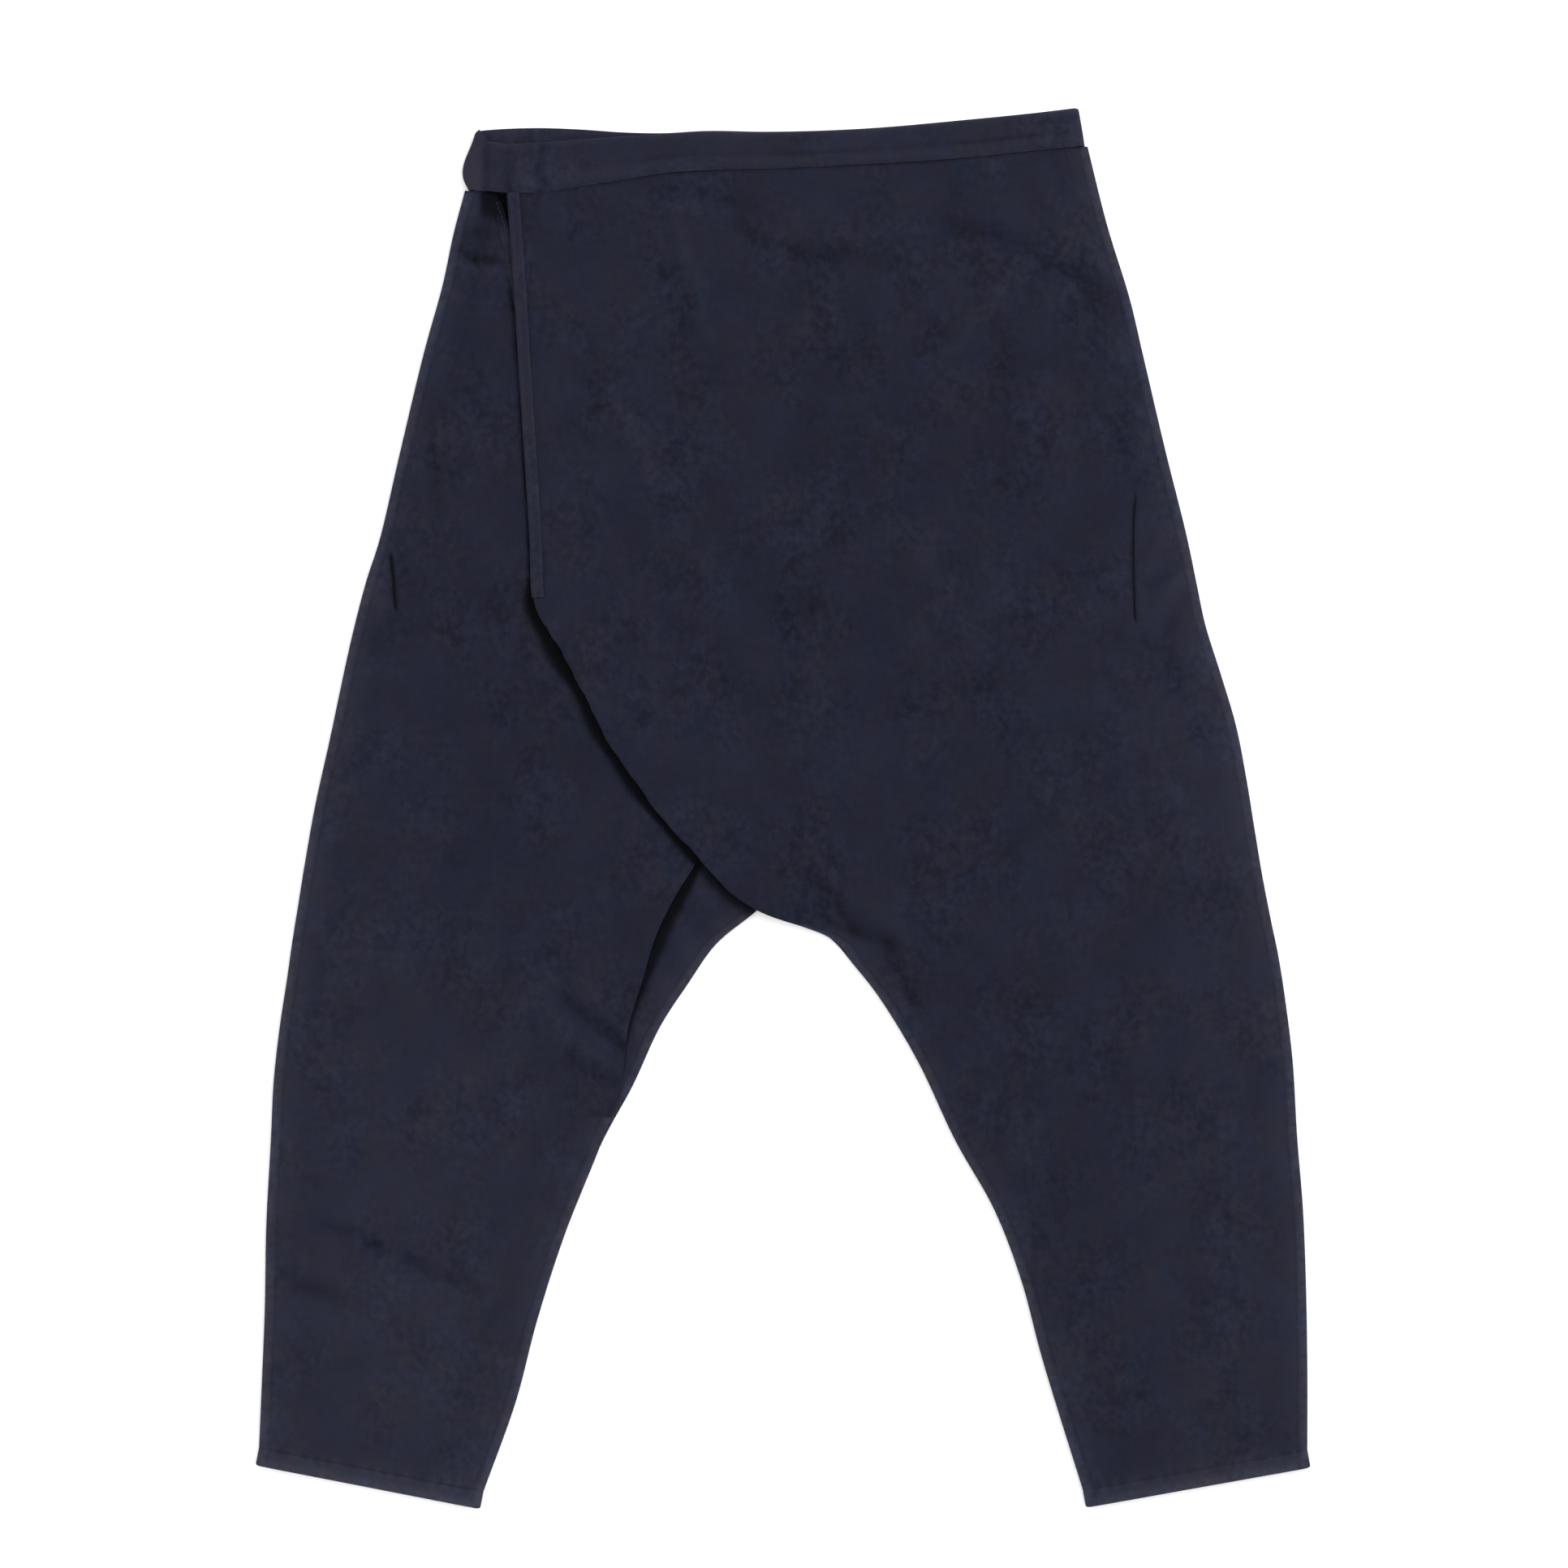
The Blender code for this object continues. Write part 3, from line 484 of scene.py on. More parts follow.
def navy_cloth(name, colour, edge_gain=0.95, seam_inset=0.0068, turn=0.0):
    """Plain-weave cotton: threads, slubs, mottling, edges lighter from rubbing and from painted sheen, fine creasing,
    and painted shade in folds, gaps and under edges.
    """
    material = bpy.data.materials.new(name)
    material.use_nodes = True
    tree = material.node_tree
    shader = tree.nodes["Principled BSDF"]
    uv = node(tree, "UVMap", uv_map="cut")[0]
    uv = node(tree, "Mapping", {"Vector": uv, "Rotation": (0.0, 0.0, turn)})[0]
    tone = node(tree, "Attribute", attribute_name="tone")["Fac"]
    painted_shade = node(tree, "Attribute", attribute_name="painted_shade")["Fac"]
    edge = node(tree, "Attribute", attribute_name="edge")["Fac"]
    rim = node(tree, "Attribute", attribute_name="rim")["Fac"]
    # Threads: warp along the leg, weft across, each a little uneven
    waver = stretched_noise(tree, uv, (90.0, 90.0), 2.0)
    axes = node(tree, "SeparateXYZ", {"Vector": uv})
    warp = arithmetic(tree, "SINE", arithmetic(tree, "MULTIPLY_ADD", axes[0], 5200.0, arithmetic(tree, "MULTIPLY", waver, 9.0)))
    weft = arithmetic(tree, "SINE", arithmetic(tree, "MULTIPLY_ADD", axes[1], 4900.0, arithmetic(tree, "MULTIPLY", waver, 9.0)))
    weave = arithmetic(tree, "MULTIPLY", warp, weft)
    slub_along = ramp(tree, stretched_noise(tree, uv, (1250.0, 34.0), 2.0, 0.6), 0.56, 0.74, 0.0, 1.0)
    slub_across = ramp(tree, stretched_noise(tree, uv, (30.0, 1150.0), 2.0, 0.6, 3.7), 0.56, 0.74, 0.0, 1.0)
    slubs = arithmetic(tree, "MAXIMUM", slub_along, slub_across)
    fleck = ramp(tree, stretched_noise(tree, uv, (620.0, 620.0), 1.0, 0.5, 9.1), 0.66, 0.8, 0.0, 1.0)
    # Mottling of the dye, from coarse to fine
    grain = ramp(tree, stretched_noise(tree, uv, (760.0, 640.0), 3.0, 0.7, 1.3), 0.25, 0.75, -0.1, 0.1)
    mottle = ramp(tree, stretched_noise(tree, uv, (210.0, 175.0), 2.0, 0.55, 5.2), 0.3, 0.7, -0.15, 0.15)
    blotch = ramp(tree, stretched_noise(tree, uv, (70.0, 56.0), 2.0, 0.5, 4.4), 0.3, 0.7, -0.1, 0.1)
    # Some patches are mottled more than others
    patchy = ramp(tree, stretched_noise(tree, uv, (21.0, 17.0), 2.0, 0.5, 3.1), 0.36, 0.64, 0.3, 1.55)
    mottle = arithmetic(tree, "MULTIPLY", mottle, patchy)
    blotch = arithmetic(tree, "MULTIPLY", blotch, patchy)
    cloudy = ramp(tree, stretched_noise(tree, uv, (24.0, 19.0), 2.0, 0.5, 7.9), 0.3, 0.7, -0.09, 0.09)
    value = arithmetic(tree, "ADD", 1.0, tone)
    for part, share in ((grain, 1.0), (mottle, 1.0), (blotch, 1.0), (cloudy, 1.0), (slubs, 0.11), (fleck, 0.22), (weave, 0.04)):
        value = arithmetic(tree, "MULTIPLY_ADD", part, share, value)
    # Edges lighter partly from rubbing and partly from painted sheen where the cloth rounds away, and the seam
    # allowance that shows as a fine line
    rubbed = ramp(tree, stretched_noise(tree, uv, (210.0, 210.0), 3.0, 0.6, 6.6), 0.3, 0.7, 0.5, 1.5)
    rim_wear_and_sheen = ramp(tree, rim, 0.0005, 0.0085, edge_gain, 0.0)
    value = arithmetic(tree, "MULTIPLY_ADD", rim_wear_and_sheen, rubbed, value)
    broad_wear_and_sheen = ramp(tree, rim, 0.004, 0.026, 0.4 * edge_gain, 0.0)
    value = arithmetic(tree, "ADD", value, broad_wear_and_sheen)
    beside_seam = arithmetic(tree, "ABSOLUTE", arithmetic(tree, "SUBTRACT", edge, seam_inset))
    seam = ramp(tree, beside_seam, 0.0002, 0.0014, 1.0, 0.0)
    value = arithmetic(tree, "MULTIPLY_ADD", seam, -0.24, value)
    # Cloth made lighter, by wear and by painted light, is greyer as well as lighter
    lightened_by_wear_and_light = arithmetic(tree, "MAXIMUM", arithmetic(tree, "SUBTRACT", value, 1.0), 0.0)
    value = node(tree, "VectorMath", {0: lightened_by_wear_and_light, 1: (0.14, 0.02, -0.3), 2: value}, operation="MULTIPLY_ADD")[0]
    # Painted shade: the cloth is darkened, down to 6 % of its colour, in gaps, folds and under edges
    lit = ramp(tree, painted_shade, 0.0, 1.0, 1.0, 0.06)
    value = node(tree, "VectorMath", {0: value, "Scale": lit}, operation="SCALE")[0]
    # The dye leans to blue in some patches and to purple in others
    lean_to = ramp(tree, stretched_noise(tree, uv, (44.0, 36.0), 3.0, 0.65, 8.3), 0.35, 0.65, 0.0, 1.0)
    hue = node(
        tree,
        "Mix",
        {"Factor": lean_to, "A": (0.94, 1.015, 1.08, 1), "B": (1.055, 0.985, 0.93, 1)},
        data_type="RGBA",
    )
    hue = [socket for socket in hue if socket.enabled][0]
    dyed = node(tree, "VectorMath", {0: hue, 1: colour}, operation="MULTIPLY")[0]
    dyed = node(tree, "VectorMath", {0: dyed, 1: value}, operation="MULTIPLY")[0]
    tree.links.new(dyed, shader.inputs["Base Color"])
    rough = ramp(tree, grain, -0.1, 0.1, 0.86, 0.98)
    tree.links.new(rough, shader.inputs["Roughness"])
    # Heights in millimetres
    crumple = stretched_noise(tree, uv, (46.0, 38.0), 5.0, 0.62, 2.2)
    height = arithmetic(tree, "MULTIPLY", crumple, 0.75)
    for part, share in ((weave, 0.035), (slubs, 0.06), (mottle, 0.6), (seam, -0.22)):
        height = arithmetic(tree, "MULTIPLY_ADD", part, share, height)
    bump = node(tree, "Bump", {"Height": height, "Distance": 0.001, "Strength": 1.0})[0]
    tree.links.new(bump, shader.inputs["Normal"])
    shader.inputs["Specular IOR Level"].default_value = 0.05
    shader.inputs["Sheen Weight"].default_value = 0.05
    shader.inputs["Sheen Roughness"].default_value = 0.6
    shader.inputs["Sheen Tint"].default_value = (0.55, 0.6, 0.85, 1.0)
    return material


def thread_material(name, colour):
    """Twisted sewing thread."""
    material = bpy.data.materials.new(name)
    material.use_nodes = True
    tree = material.node_tree
    shader = tree.nodes["Principled BSDF"]
    place = node(tree, "TexCoord")["Object"]
    twist = node(tree, "TexWave", {"Vector": place, "Scale": 900.0, "Distortion": 1.5}, bands_direction="DIAGONAL")["Fac"]
    value = ramp(tree, twist, 0.0, 1.0, 0.75, 1.2)
    dyed = node(tree, "VectorMath", {0: colour, "Scale": value}, operation="SCALE")[0]
    tree.links.new(dyed, shader.inputs["Base Color"])
    bump = node(tree, "Bump", {"Height": twist, "Distance": 0.0001, "Strength": 0.8})[0]
    tree.links.new(bump, shader.inputs["Normal"])
    shader.inputs["Roughness"].default_value = 0.7
    shader.inputs["Specular IOR Level"].default_value = 0.12
    return material


COTTON = navy_cloth("navy_cotton", NAVY)
BAND_COTTON = navy_cloth("navy_band", NAVY_BAND, 0.12, 0.5)
BINDING_COTTON = navy_cloth("navy_binding", NAVY_BAND, 0.1, 0.5, 0.78)
THREAD_NAVY = thread_material("navy_thread", THREAD)
HEM_THREAD = thread_material("navy_hem_thread", (0.0125, 0.0130, 0.0230))

TURN = np.radians(np.linspace(0, 90, 6))


def with_hem(grid, marks, inside):
    """The grid with a turned hem after its last row: on down, round the fold, and back up inside."""
    last = grid[-1]
    along = unit(last[-1, :2] - last[0, :2])
    down = np.array((along[1], -along[0]))
    down = down if down[1] < 0 else -down
    middle = (last[0] + last[-1]) / 2
    half = np.linalg.norm(last[-1, :2] - last[0, :2]) / 2
    flat_level = np.median(last[:, 2])
    extra = []
    for depth in (0.8, 1.7, 3.2, 5.2, 7.2, 9.2, HEM_DEPTH - HEM_TURN):
        row = last.copy()
        row[:, :2] += down * depth
        extra.append(row)
    for angle in np.radians((30, 60, 90, 120, 150, 180)):
        row = last.copy()
        share = (1 - np.cos(angle)) / 2
        row[:, :2] += down * (HEM_DEPTH - HEM_TURN + HEM_TURN * np.sin(angle))
        pull = 1 - share * 5.0 / half
        centre = middle[:2] + down * HEM_DEPTH
        row[:, :2] = centre + (row[:, :2] - centre) * pull
        level = last[:, 2] * (1 - share) + flat_level * share
        row[:, 2] = level + inside * HEM_TURN * (1 - np.cos(angle))
        extra.append(row)
    turned = extra[-1]
    for depth in np.linspace(0, HEM_RETURN, 6)[1:]:
        row = turned.copy()
        row[:, :2] -= down * depth
        extra.append(row)
    extra = np.array(extra)
    full = np.concatenate([grid, extra])
    marks = {key: np.broadcast_to(values, grid.shape[:2]) for key, values in marks}
    marks = {key: np.concatenate([v, np.tile(v[-1], (len(extra), 1))]) for key, v in marks.items()}
    off = (full[..., :2] - middle[:2]) @ down
    run = full[..., :2] @ np.array((-down[1], down[0]))
    pucker = np.sin(run / 1.9 + 2.1 * np.sin(run / 7.3)) * np.exp(-((off / 2.6) ** 2))
    # The hem below its stitch line is lighter; painted light and shade follow the puckers along the stitch line, and
    # painted shade lies in its groove
    marks["tone"] = marks["tone"] + 0.28 * eased((off + 1.5) / 3) + 0.34 * pucker
    marks["painted_shade"] = np.maximum(marks["painted_shade"], 0.3 * np.exp(-((off / 1.0) ** 2)))
    marks["rim"] = np.minimum(marks["edge"], np.abs(off - HEM_DEPTH) * MM)
    groove = 0.3 * np.exp(-((off / 1.3) ** 2)) + 0.12 * pucker
    full[: len(grid) + 4, :, 2] += inside * groove[: len(grid) + 4]
    return full, list(marks.items()), len(extra)


def pocket_mouth(rows, span):
    middle, half = (span[0] + span[1]) / 2, (span[1] - span[0]) / 2
    return eased((half - abs(rows - middle)) / (0.22 * half))


MOUTH = np.array((-4.0, -1.6, -1.0, -0.5, 0, 0.5, 1.0, 1.6, 4.0))


def into_band(grid, marks, level):
    """One more row at the top: the cut edge, inside the waistband's slot."""
    top = grid[:1].copy()
    share = eased((202 - top[..., 0]) / 14) * eased((top[..., 0] + 214) / 10)
    top[..., 1] += WAIST_TUCK * share
    top[..., 2] = np.where(share > 0.3, level, top[..., 2])
    return np.concatenate([top, grid]), [(k, np.concatenate([np.broadcast_to(v, grid.shape[:2])[:1], np.broadcast_to(v, grid.shape[:2])])) for k, v in marks]


def wrap_edge_line():
    rows = np.linspace(0, 13, 105)
    return np.stack([column(LEFT_LEG, "wrap_x", rows), column(LEFT_LEG, "wrap_y", rows)], 1)


def wrap_waver(rows):
    """Small unevenness of the folded edge below its binding."""
    share = eased((rows - 6.2) / 0.6) * eased((12.6 - rows) / 0.8)
    return share * (0.55 * np.sin(5.3 * rows) + 0.35 * np.sin(12.1 * rows + 1) + 0.2 * np.sin(29 * rows))


def wrap_sheet():
    table = LEFT_LEG
    steps = len(table["side_x"]) - 1
    rows = np.insert(np.linspace(0, steps, steps * PER_STEP + 1), -1, (steps - 0.03, steps - 0.015))
    first, last, lengths = section_lines(table, rows, "wrap", "side")
    first[:, 0] += wrap_waver(rows)
    seam = eased(straight(table, "inner_seam", rows))[:, None]
    radius = straight(table, "fold_radius", rows)[:, None]
    fold = column(table, "fold_level", rows)[:, None]
    return_width = straight(table, "turned_under", rows)[:, None]
    pocket = column(table, "pocket_inset", rows)[:, None]
    roll = np.radians(np.linspace(270, 90, 10))
    back_shares = np.linspace(1, 0.15, 5)
    fold_inset = np.concatenate([back_shares * return_width, radius + radius * np.cos(roll)], 1)
    fold_level = np.concatenate([fold + 0 * back_shares, fold + radius + radius * np.sin(roll)], 1)
    edge_points = fold_inset.shape[1]
    seam_inset, seam_under = seam_profile(np.radians(np.linspace(0, 90, edge_points)))
    edge_inset = (fold_inset * (1 - seam) + seam * seam_inset) * lean(first, last)[:, None]
    edge_level = fold_level * (1 - seam) + seam * (EDGE_LEVEL + seam_under)
    width = lengths[:, None]
    beside = np.array((5.0, 8.0))[None] * np.ones_like(width)
    mouth = width - pocket + MOUTH
    interior = 12.0 + np.linspace(0, 1, 98)[None, :-1] * (mouth[:, :1] - 12.0)
    turned, under = seam_profile(TURN)
    side = width - pocket * np.linspace(0.82, 0.12, 8)
    insets = np.concatenate([edge_inset, beside, interior, mouth, side, width - turned[::-1]], 1)
    place = plan(first, last, lengths, insets)
    x = place[..., 0]
    y = below_waistband(x, place[..., 1], rows)
    from_edge, from_side = insets, width - insets
    edge_top = fold + 2 * radius
    at_fold = FRONT_LEVEL + (edge_top - FRONT_LEVEL) * (1 - eased(from_edge / WRAP_SLOPE))
    at_seam = EDGE_LEVEL + crown(from_edge)
    level = at_fold * (1 - seam) + at_seam * seam
    level = np.minimum(level, EDGE_LEVEL + crown(from_side) + np.maximum(level - FRONT_LEVEL, 0))
    near_waist = eased(1 - (band_edge("bottom", x) - y) / WAIST_SLOPE)
    level += near_waist * np.clip(FRONT_AT_WAIST - level, 0, None) * eased(from_side / 12)
    ease = eased(from_edge / 17) * eased(from_side / 12)
    height, tone = folds_at(WRAP_FOLDS, x, y)
    level += ease * (height + undulation(x, y))
    level[:, :edge_points] = edge_level
    level[:, -len(TURN):] = EDGE_LEVEL + under[::-1]
    mouth_line = width - pocket
    open_share = pocket_mouth(rows, LEFT_POCKET_ROWS)[:, None]
    off = insets - mouth_line
    level -= POCKET_DEPTH * open_share * np.exp(-((off / POCKET_HALF) ** 2))
    level -= 0.7 * open_share * (off > 0) * np.exp(-off / 14)
    # Painted shade in the pocket mouth, on the turned-under return and the lower side of the folded edge, and just
    # below the waistband
    painted_shade = open_share * np.exp(-((off / 1.35) ** 2))
    painted_shade = np.maximum(painted_shade, np.where(np.arange(insets.shape[1]) < edge_points - 4, (1 - seam) * 0.9, 0))
    painted_shade = np.maximum(painted_shade, 0.34 * np.exp(-((band_edge("bottom", x) - y) / 2.8) ** 2))
    tone = tone * ease + painted_light_at(x, y) + 0.10 * open_share * (off > 0)
    marks = [("tone", tone), ("painted_shade", painted_shade), ("edge", np.minimum(from_side, np.where(seam > 0.5, from_edge, 99)) * MM)]
    grid, marks = into_band(np.dstack([x, y, level]), marks, BAND_HEIGHT - BAND_WALL)
    return grid, marks, np.concatenate([seam[:1, 0], seam[:, 0]]), np.concatenate([[-0.1], rows]), edge_points


def right_sheet():
    table = RIGHT_LEG
    steps = len(table["side_x"]) - 1
    rows = np.insert(np.linspace(0, steps, steps * PER_STEP + 1), -1, (steps - 0.03, steps - 0.015))
    first, last, lengths = section_lines(table, rows, "side", "front")
    seam = straight(table, "inner_seam", rows)[:, None]
    pocket = column(table, "pocket_inset", rows)[:, None]
    narrow = np.clip(lengths / 60, 0, 1)[:, None]
    turned, under = seam_profile(TURN)
    width = lengths[:, None]
    near = np.tile(turned, (len(rows), 1))
    mouth = pocket + narrow * MOUTH
    side = turned[-1] + (mouth[:, :1] - turned[-1]) * np.linspace(0.15, 0.85, 6)
    far = width - np.concatenate([narrow * np.array((10.0, 6.0, 3.0)), near[:, ::-1]], 1)
    interior = mouth[:, -1:] + np.linspace(0, 1, 66)[None, 1:-1] * (far[:, :1] - mouth[:, -1:])
    insets = np.concatenate([near, side, mouth, interior, far], 1)
    place = plan(first, last, lengths, insets)
    x = place[..., 0]
    y = below_waistband(x, place[..., 1], rows)
    from_side, from_inner = insets, width - insets
    level = EDGE_LEVEL + crown(from_side)
    level = level * (1 - seam) + seam * np.minimum(level, EDGE_LEVEL + crown(from_inner))
    free_edge = np.minimum(level, LOWEST_OVER_BACK + 1.3)
    free_level = free_edge + (level - free_edge) * eased(from_inner / (24 * narrow))
    level = level * seam + free_level * (1 - seam)
    lift = column(table, "front_lift", rows)[:, None] * np.exp(-(((from_inner - 8) / 22) ** 2))
    level += 1.2 * lift * eased(from_side / 60)
    ease = eased(from_side / 12) * (1 - seam + seam * eased(from_inner / 12))
    height, tone = folds_at(RIGHT_FOLDS, x, y)
    level += ease * (height + undulation(x, y) * narrow)
    off = insets - pocket
    open_share = pocket_mouth(rows, RIGHT_POCKET_ROWS)[:, None]
    level -= POCKET_DEPTH * open_share * np.exp(-((off / POCKET_HALF) ** 2))
    level -= 0.6 * open_share * (off < 0) * np.exp(off / 12)
    level = np.maximum(level, LOWEST_OVER_BACK + 0.2)
    turns = len(TURN)
    level[:, :turns] = EDGE_LEVEL + under
    level[:, -turns:] = level[:, -turns:] * (1 - seam) + seam * (EDGE_LEVEL + under[::-1])
    level[0] = TUCKED_LEVEL
    # Painted shadow of the wrap's folded edge on this leg, full painted shade where the wrap lies over it, and painted
    # shade in the hole below the waistband and in the pocket mouth
    wrap = wrap_edge_line()
    gap = line_distance(x, y, wrap)
    right_of = x > np.interp(y, wrap[::-1, 1], wrap[::-1, 0])
    reach = np.interp(y, (-70, -40, 20, 80, 110, 142, 160, 300, 400), (7.0, 7.6, 8.6, 11.0, 13.5, 8.4, 3.6, 2.8, 3.4))
    reach = reach * (1 + 0.12 * np.sin(y / 7) + 0.1 * np.sin(y / 17))
    painted_shade = np.where(right_of, 1.0, 1 - eased((gap - 0.35 * reach) / (0.9 * reach)))
    below = band_edge("bottom", x) - y
    hole = 0.92 * np.exp(-((below / 22) ** 4)) * eased((x + 214) / 9)
    blob = 0.5 * np.exp(-(((x + 208) / 13) ** 2) - ((y - 395) / 14) ** 2)
    painted_shade = np.maximum(painted_shade, np.maximum(hole, blob))
    painted_shade = np.maximum(painted_shade, open_share * np.exp(-((off / 1.8) ** 2)))
    tone = tone * ease + painted_light_at(x, y) + 0.12 * open_share * (off < 0)
    marks = [("tone", tone), ("painted_shade", painted_shade), ("edge", np.minimum(from_side, np.where(seam > 0.5, from_inner, 99)) * MM)]
    top = np.dstack([x, y, level])
    inside = 1 - from_side[0] / lengths[0]
    tuck = top[:1].copy()
    tuck[..., 1] += TUCK_DEPTH
    tuck[0, :, 0] += TUCK_INSET * inside
    top[0, :, 0] += 0.7 * TUCK_INSET * inside
    marks = [(key, np.concatenate([v[:1], v])) for key, v in marks]
    return np.concatenate([tuck, top]), marks, np.concatenate([seam[:1, 0], seam[:, 0]]), rows


def back_sheet(table, side_first):
    steps = len(table["side_x"]) - 1
    rows = np.insert(np.linspace(0, steps, steps * BACK_PER_STEP + 1), -1, (steps - 0.03, steps - 0.015))
    turn_side = np.ones_like(rows)
    turn_inner = straight(table, "back_inner_turn", rows)
    if side_first:
        first, last, lengths = section_lines(table, rows, "side", "back")
        turn_first, turn_last = turn_side, turn_inner
    else:
        first, last, lengths = section_lines(table, rows, "back", "side")
        turn_first, turn_last = turn_inner, turn_side
    turned, _ = seam_profile(TURN)
    width = lengths[:, None]
    near = np.concatenate([turned, (3.0, 6.5)])
    interior = np.linspace(0, 1, 36)[None, 1:-1] * (width - 2 * near[-1]) + near[-1]
    insets = np.concatenate([np.tile(near, (len(rows), 1)), interior, width - near[::-1]], 1)
    place = plan(first, last, lengths, insets)
    x = place[..., 0]
    y = below_waistband(x, place[..., 1], rows)
    rise = SEAM_TURN * (1 - np.sin(TURN))
    level = np.full(insets.shape, BACK_LEVEL)
    turns = len(TURN)
    level[:, :turns] += turn_first[:, None] * (rise + 0.15)
    level[:, -turns:] += turn_last[:, None] * (rise + 0.15)[::-1]
    level[:, turns:-turns] += (BAND_WALL - BACK_LEVEL) * eased(1 - (band_edge("bottom", x) - y) / 12)[:, turns:-turns]
    # Painted shade over the upper back panels, where they lie under the fronts and show through the hole below the
    # waistband
    painted_shade = 0.93 * eased((x + 207) / 3) * eased((y - 300) / 30)
    edge = np.minimum(insets, width - insets) * MM
    tone = painted_light_at(x, y) + 0.4 * folds_at(BACK_FOLDS, x, y)[1]
    level[:, turns:-turns] += folds_at(BACK_FOLDS, x, y)[0][:, turns:-turns]
    grid, marks = into_band(np.dstack([x, y, level]), [("tone", tone), ("painted_shade", painted_shade), ("edge", edge)], BAND_WALL)
    turn_first, turn_last = (np.concatenate([turn[:1], turn]) for turn in (turn_first, turn_last))
    return grid, marks, turn_first, turn_last


def gusset_sheet():
    rows = np.linspace(*GUSSET_ROWS, 64)
    _, front, _ = section_lines(RIGHT_LEG, rows, "side", "front")
    _, back, _ = section_lines(RIGHT_LEG, rows, "side", "back")
    underlap = np.interp(rows, GUSSET["row"], GUSSET["underlap"])[:, None]
    dark = np.interp(rows, GUSSET["row"], GUSSET["dark"])[:, None]
    first = front - underlap * np.array((1, 0))
    lengths = np.linalg.norm(back - first, axis=1)
    turned, under = seam_profile(TURN)
    width = lengths[:, None]
    insets = np.concatenate([np.linspace(0, 1, 44)[None] * (width - 2.2), width - turned[::-1]], 1)
    place = plan(first, back, lengths, insets)
    run = insets - underlap
    rise = np.interp(rows, GUSSET["row"], GUSSET["rise"])[:, None] * (EDGE_LEVEL + 0.2 - LOWEST_OVER_BACK)
    level = LOWEST_OVER_BACK + rise * eased((run - 0.5 * dark) / (0.5 * dark + 3))
    level[:, -len(TURN):] = np.minimum(level[:, -len(TURN):], EDGE_LEVEL + under[::-1])
    level[:, -1] = EDGE_LEVEL + under[0]
    x, y = place[..., 0], place[..., 1]
    uneven = 1 + 0.12 * np.sin(y / 6) + 0.1 * np.sin(y / 2.3)
    # Painted shade in the slit between the leg's front and the gusset, and painted shadow of the wrap's folded edge
    # over the gusset
    painted_shade = 1 - eased((run - 0.3 * dark * uneven) / (0.85 * dark))
    strong = np.interp(rows, (11.3, 12, 13, 14, 14.7, 15.3), (1, 0.86, 0.8, 0.66, 0.4, 0))[:, None]
    painted_shade = painted_shade * strong
    gap = line_distance(x, y, wrap_edge_line())
    painted_shade = np.maximum(painted_shade, 0.9 * (1 - eased((gap - 0.8) / 3.4)))
    painted_shade = np.maximum(painted_shade, 0.7 * (1 - eased((gap - 3) / 9)))
    edge = (width - insets) * MM
    return np.dstack([place, level]), [("tone", 0.12 + 0.1 * np.sin(x / 5 + y / 9)), ("painted_shade", painted_shade), ("edge", edge)]


def strip_on(edge, inward, roll_centre, radius, width, rows):
    """Binding round a free edge: flat on the panel, round the edge and a little way under."""
    flat = np.linspace(width, 0.9, 8)
    turn = np.radians(np.linspace(90, 215, 8))
    out = []
    for k in range(len(edge)):
        centre = roll_centre[k]
        top = centre[2] + radius[k]
        row = [edge[k] + inward[k] * f for f in flat]
        for f, point in zip(flat, row):
            point[2] = top - 0.05 * (f > width - 0.6) + 0.1 * np.cos((f - 3.5) * 1.7)
        for angle in turn:
            point = edge[k] + inward[k] * (centre[3] + radius[k] * np.cos(angle))
            point[2] = centre[2] + radius[k] * np.sin(angle)
            row.append(point)
        out.append(row)
    return np.array(out)[:, ::-1]


def stitch_run(name, paths, material):
    """Sewing thread along paths of points on the cloth's outer face: one small spindle a stitch."""
    ring = np.radians(np.arange(0, 360, 60))
    points, faces = [], []
    for path, up in paths:
        path = np.asarray(path, float)
        runs = np.concatenate([[0], np.cumsum(np.linalg.norm(np.diff(path, axis=0), axis=1))])
        starts = np.arange(0.5, runs[-1] - STITCH, STITCH_PITCH)
        for start in starts:
            a, b = (np.array([np.interp(s, runs, path[:, k]) for k in range(3)]) for s in (start, start + STITCH))
            along = unit(b - a)
            normal = np.array((0.0, 0.0, up))
            side = unit(np.cross(along, normal))
            base = len(points)
            points.append(a - normal * 0.1)
            for share in (0.16, 0.84):
                centre = a + (b - a) * share + normal * (STITCH_PROUD - 0.1)
                for angle in ring:
                    points.append(centre + STITCH_WIDTH / 2 * (side * np.cos(angle) + normal * 0.7 * np.sin(angle)))
            points.append(b - normal * 0.1)
            for k in range(6):
                n = (k + 1) % 6
                faces.append((base, base + 1 + n, base + 1 + k))
                faces.append((base + 1 + k, base + 1 + n, base + 7 + n, base + 7 + k))
                faces.append((base + 13, base + 7 + k, base + 7 + n))
    mesh = bpy.data.meshes.new(name)
    mesh.from_pydata((np.array(points) * MM).tolist(), [], faces)
    mesh.materials.append(material)
    mesh.shade_smooth()
    piece = bpy.data.objects.new(name, mesh)
    bpy.context.scene.collection.objects.link(piece)
    select_only(piece)
    bpy.ops.object.mode_set(mode="EDIT")
    bpy.ops.mesh.select_all(action="SELECT")
    bpy.ops.mesh.normals_make_consistent(inside=False)
    bpy.ops.object.mode_set(mode="OBJECT")
    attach(piece, "root")
    return piece


def select_only(piece):
    for thing in bpy.context.selected_objects:
        thing.select_set(False)
    piece.select_set(True)
    bpy.context.view_layer.objects.active = piece


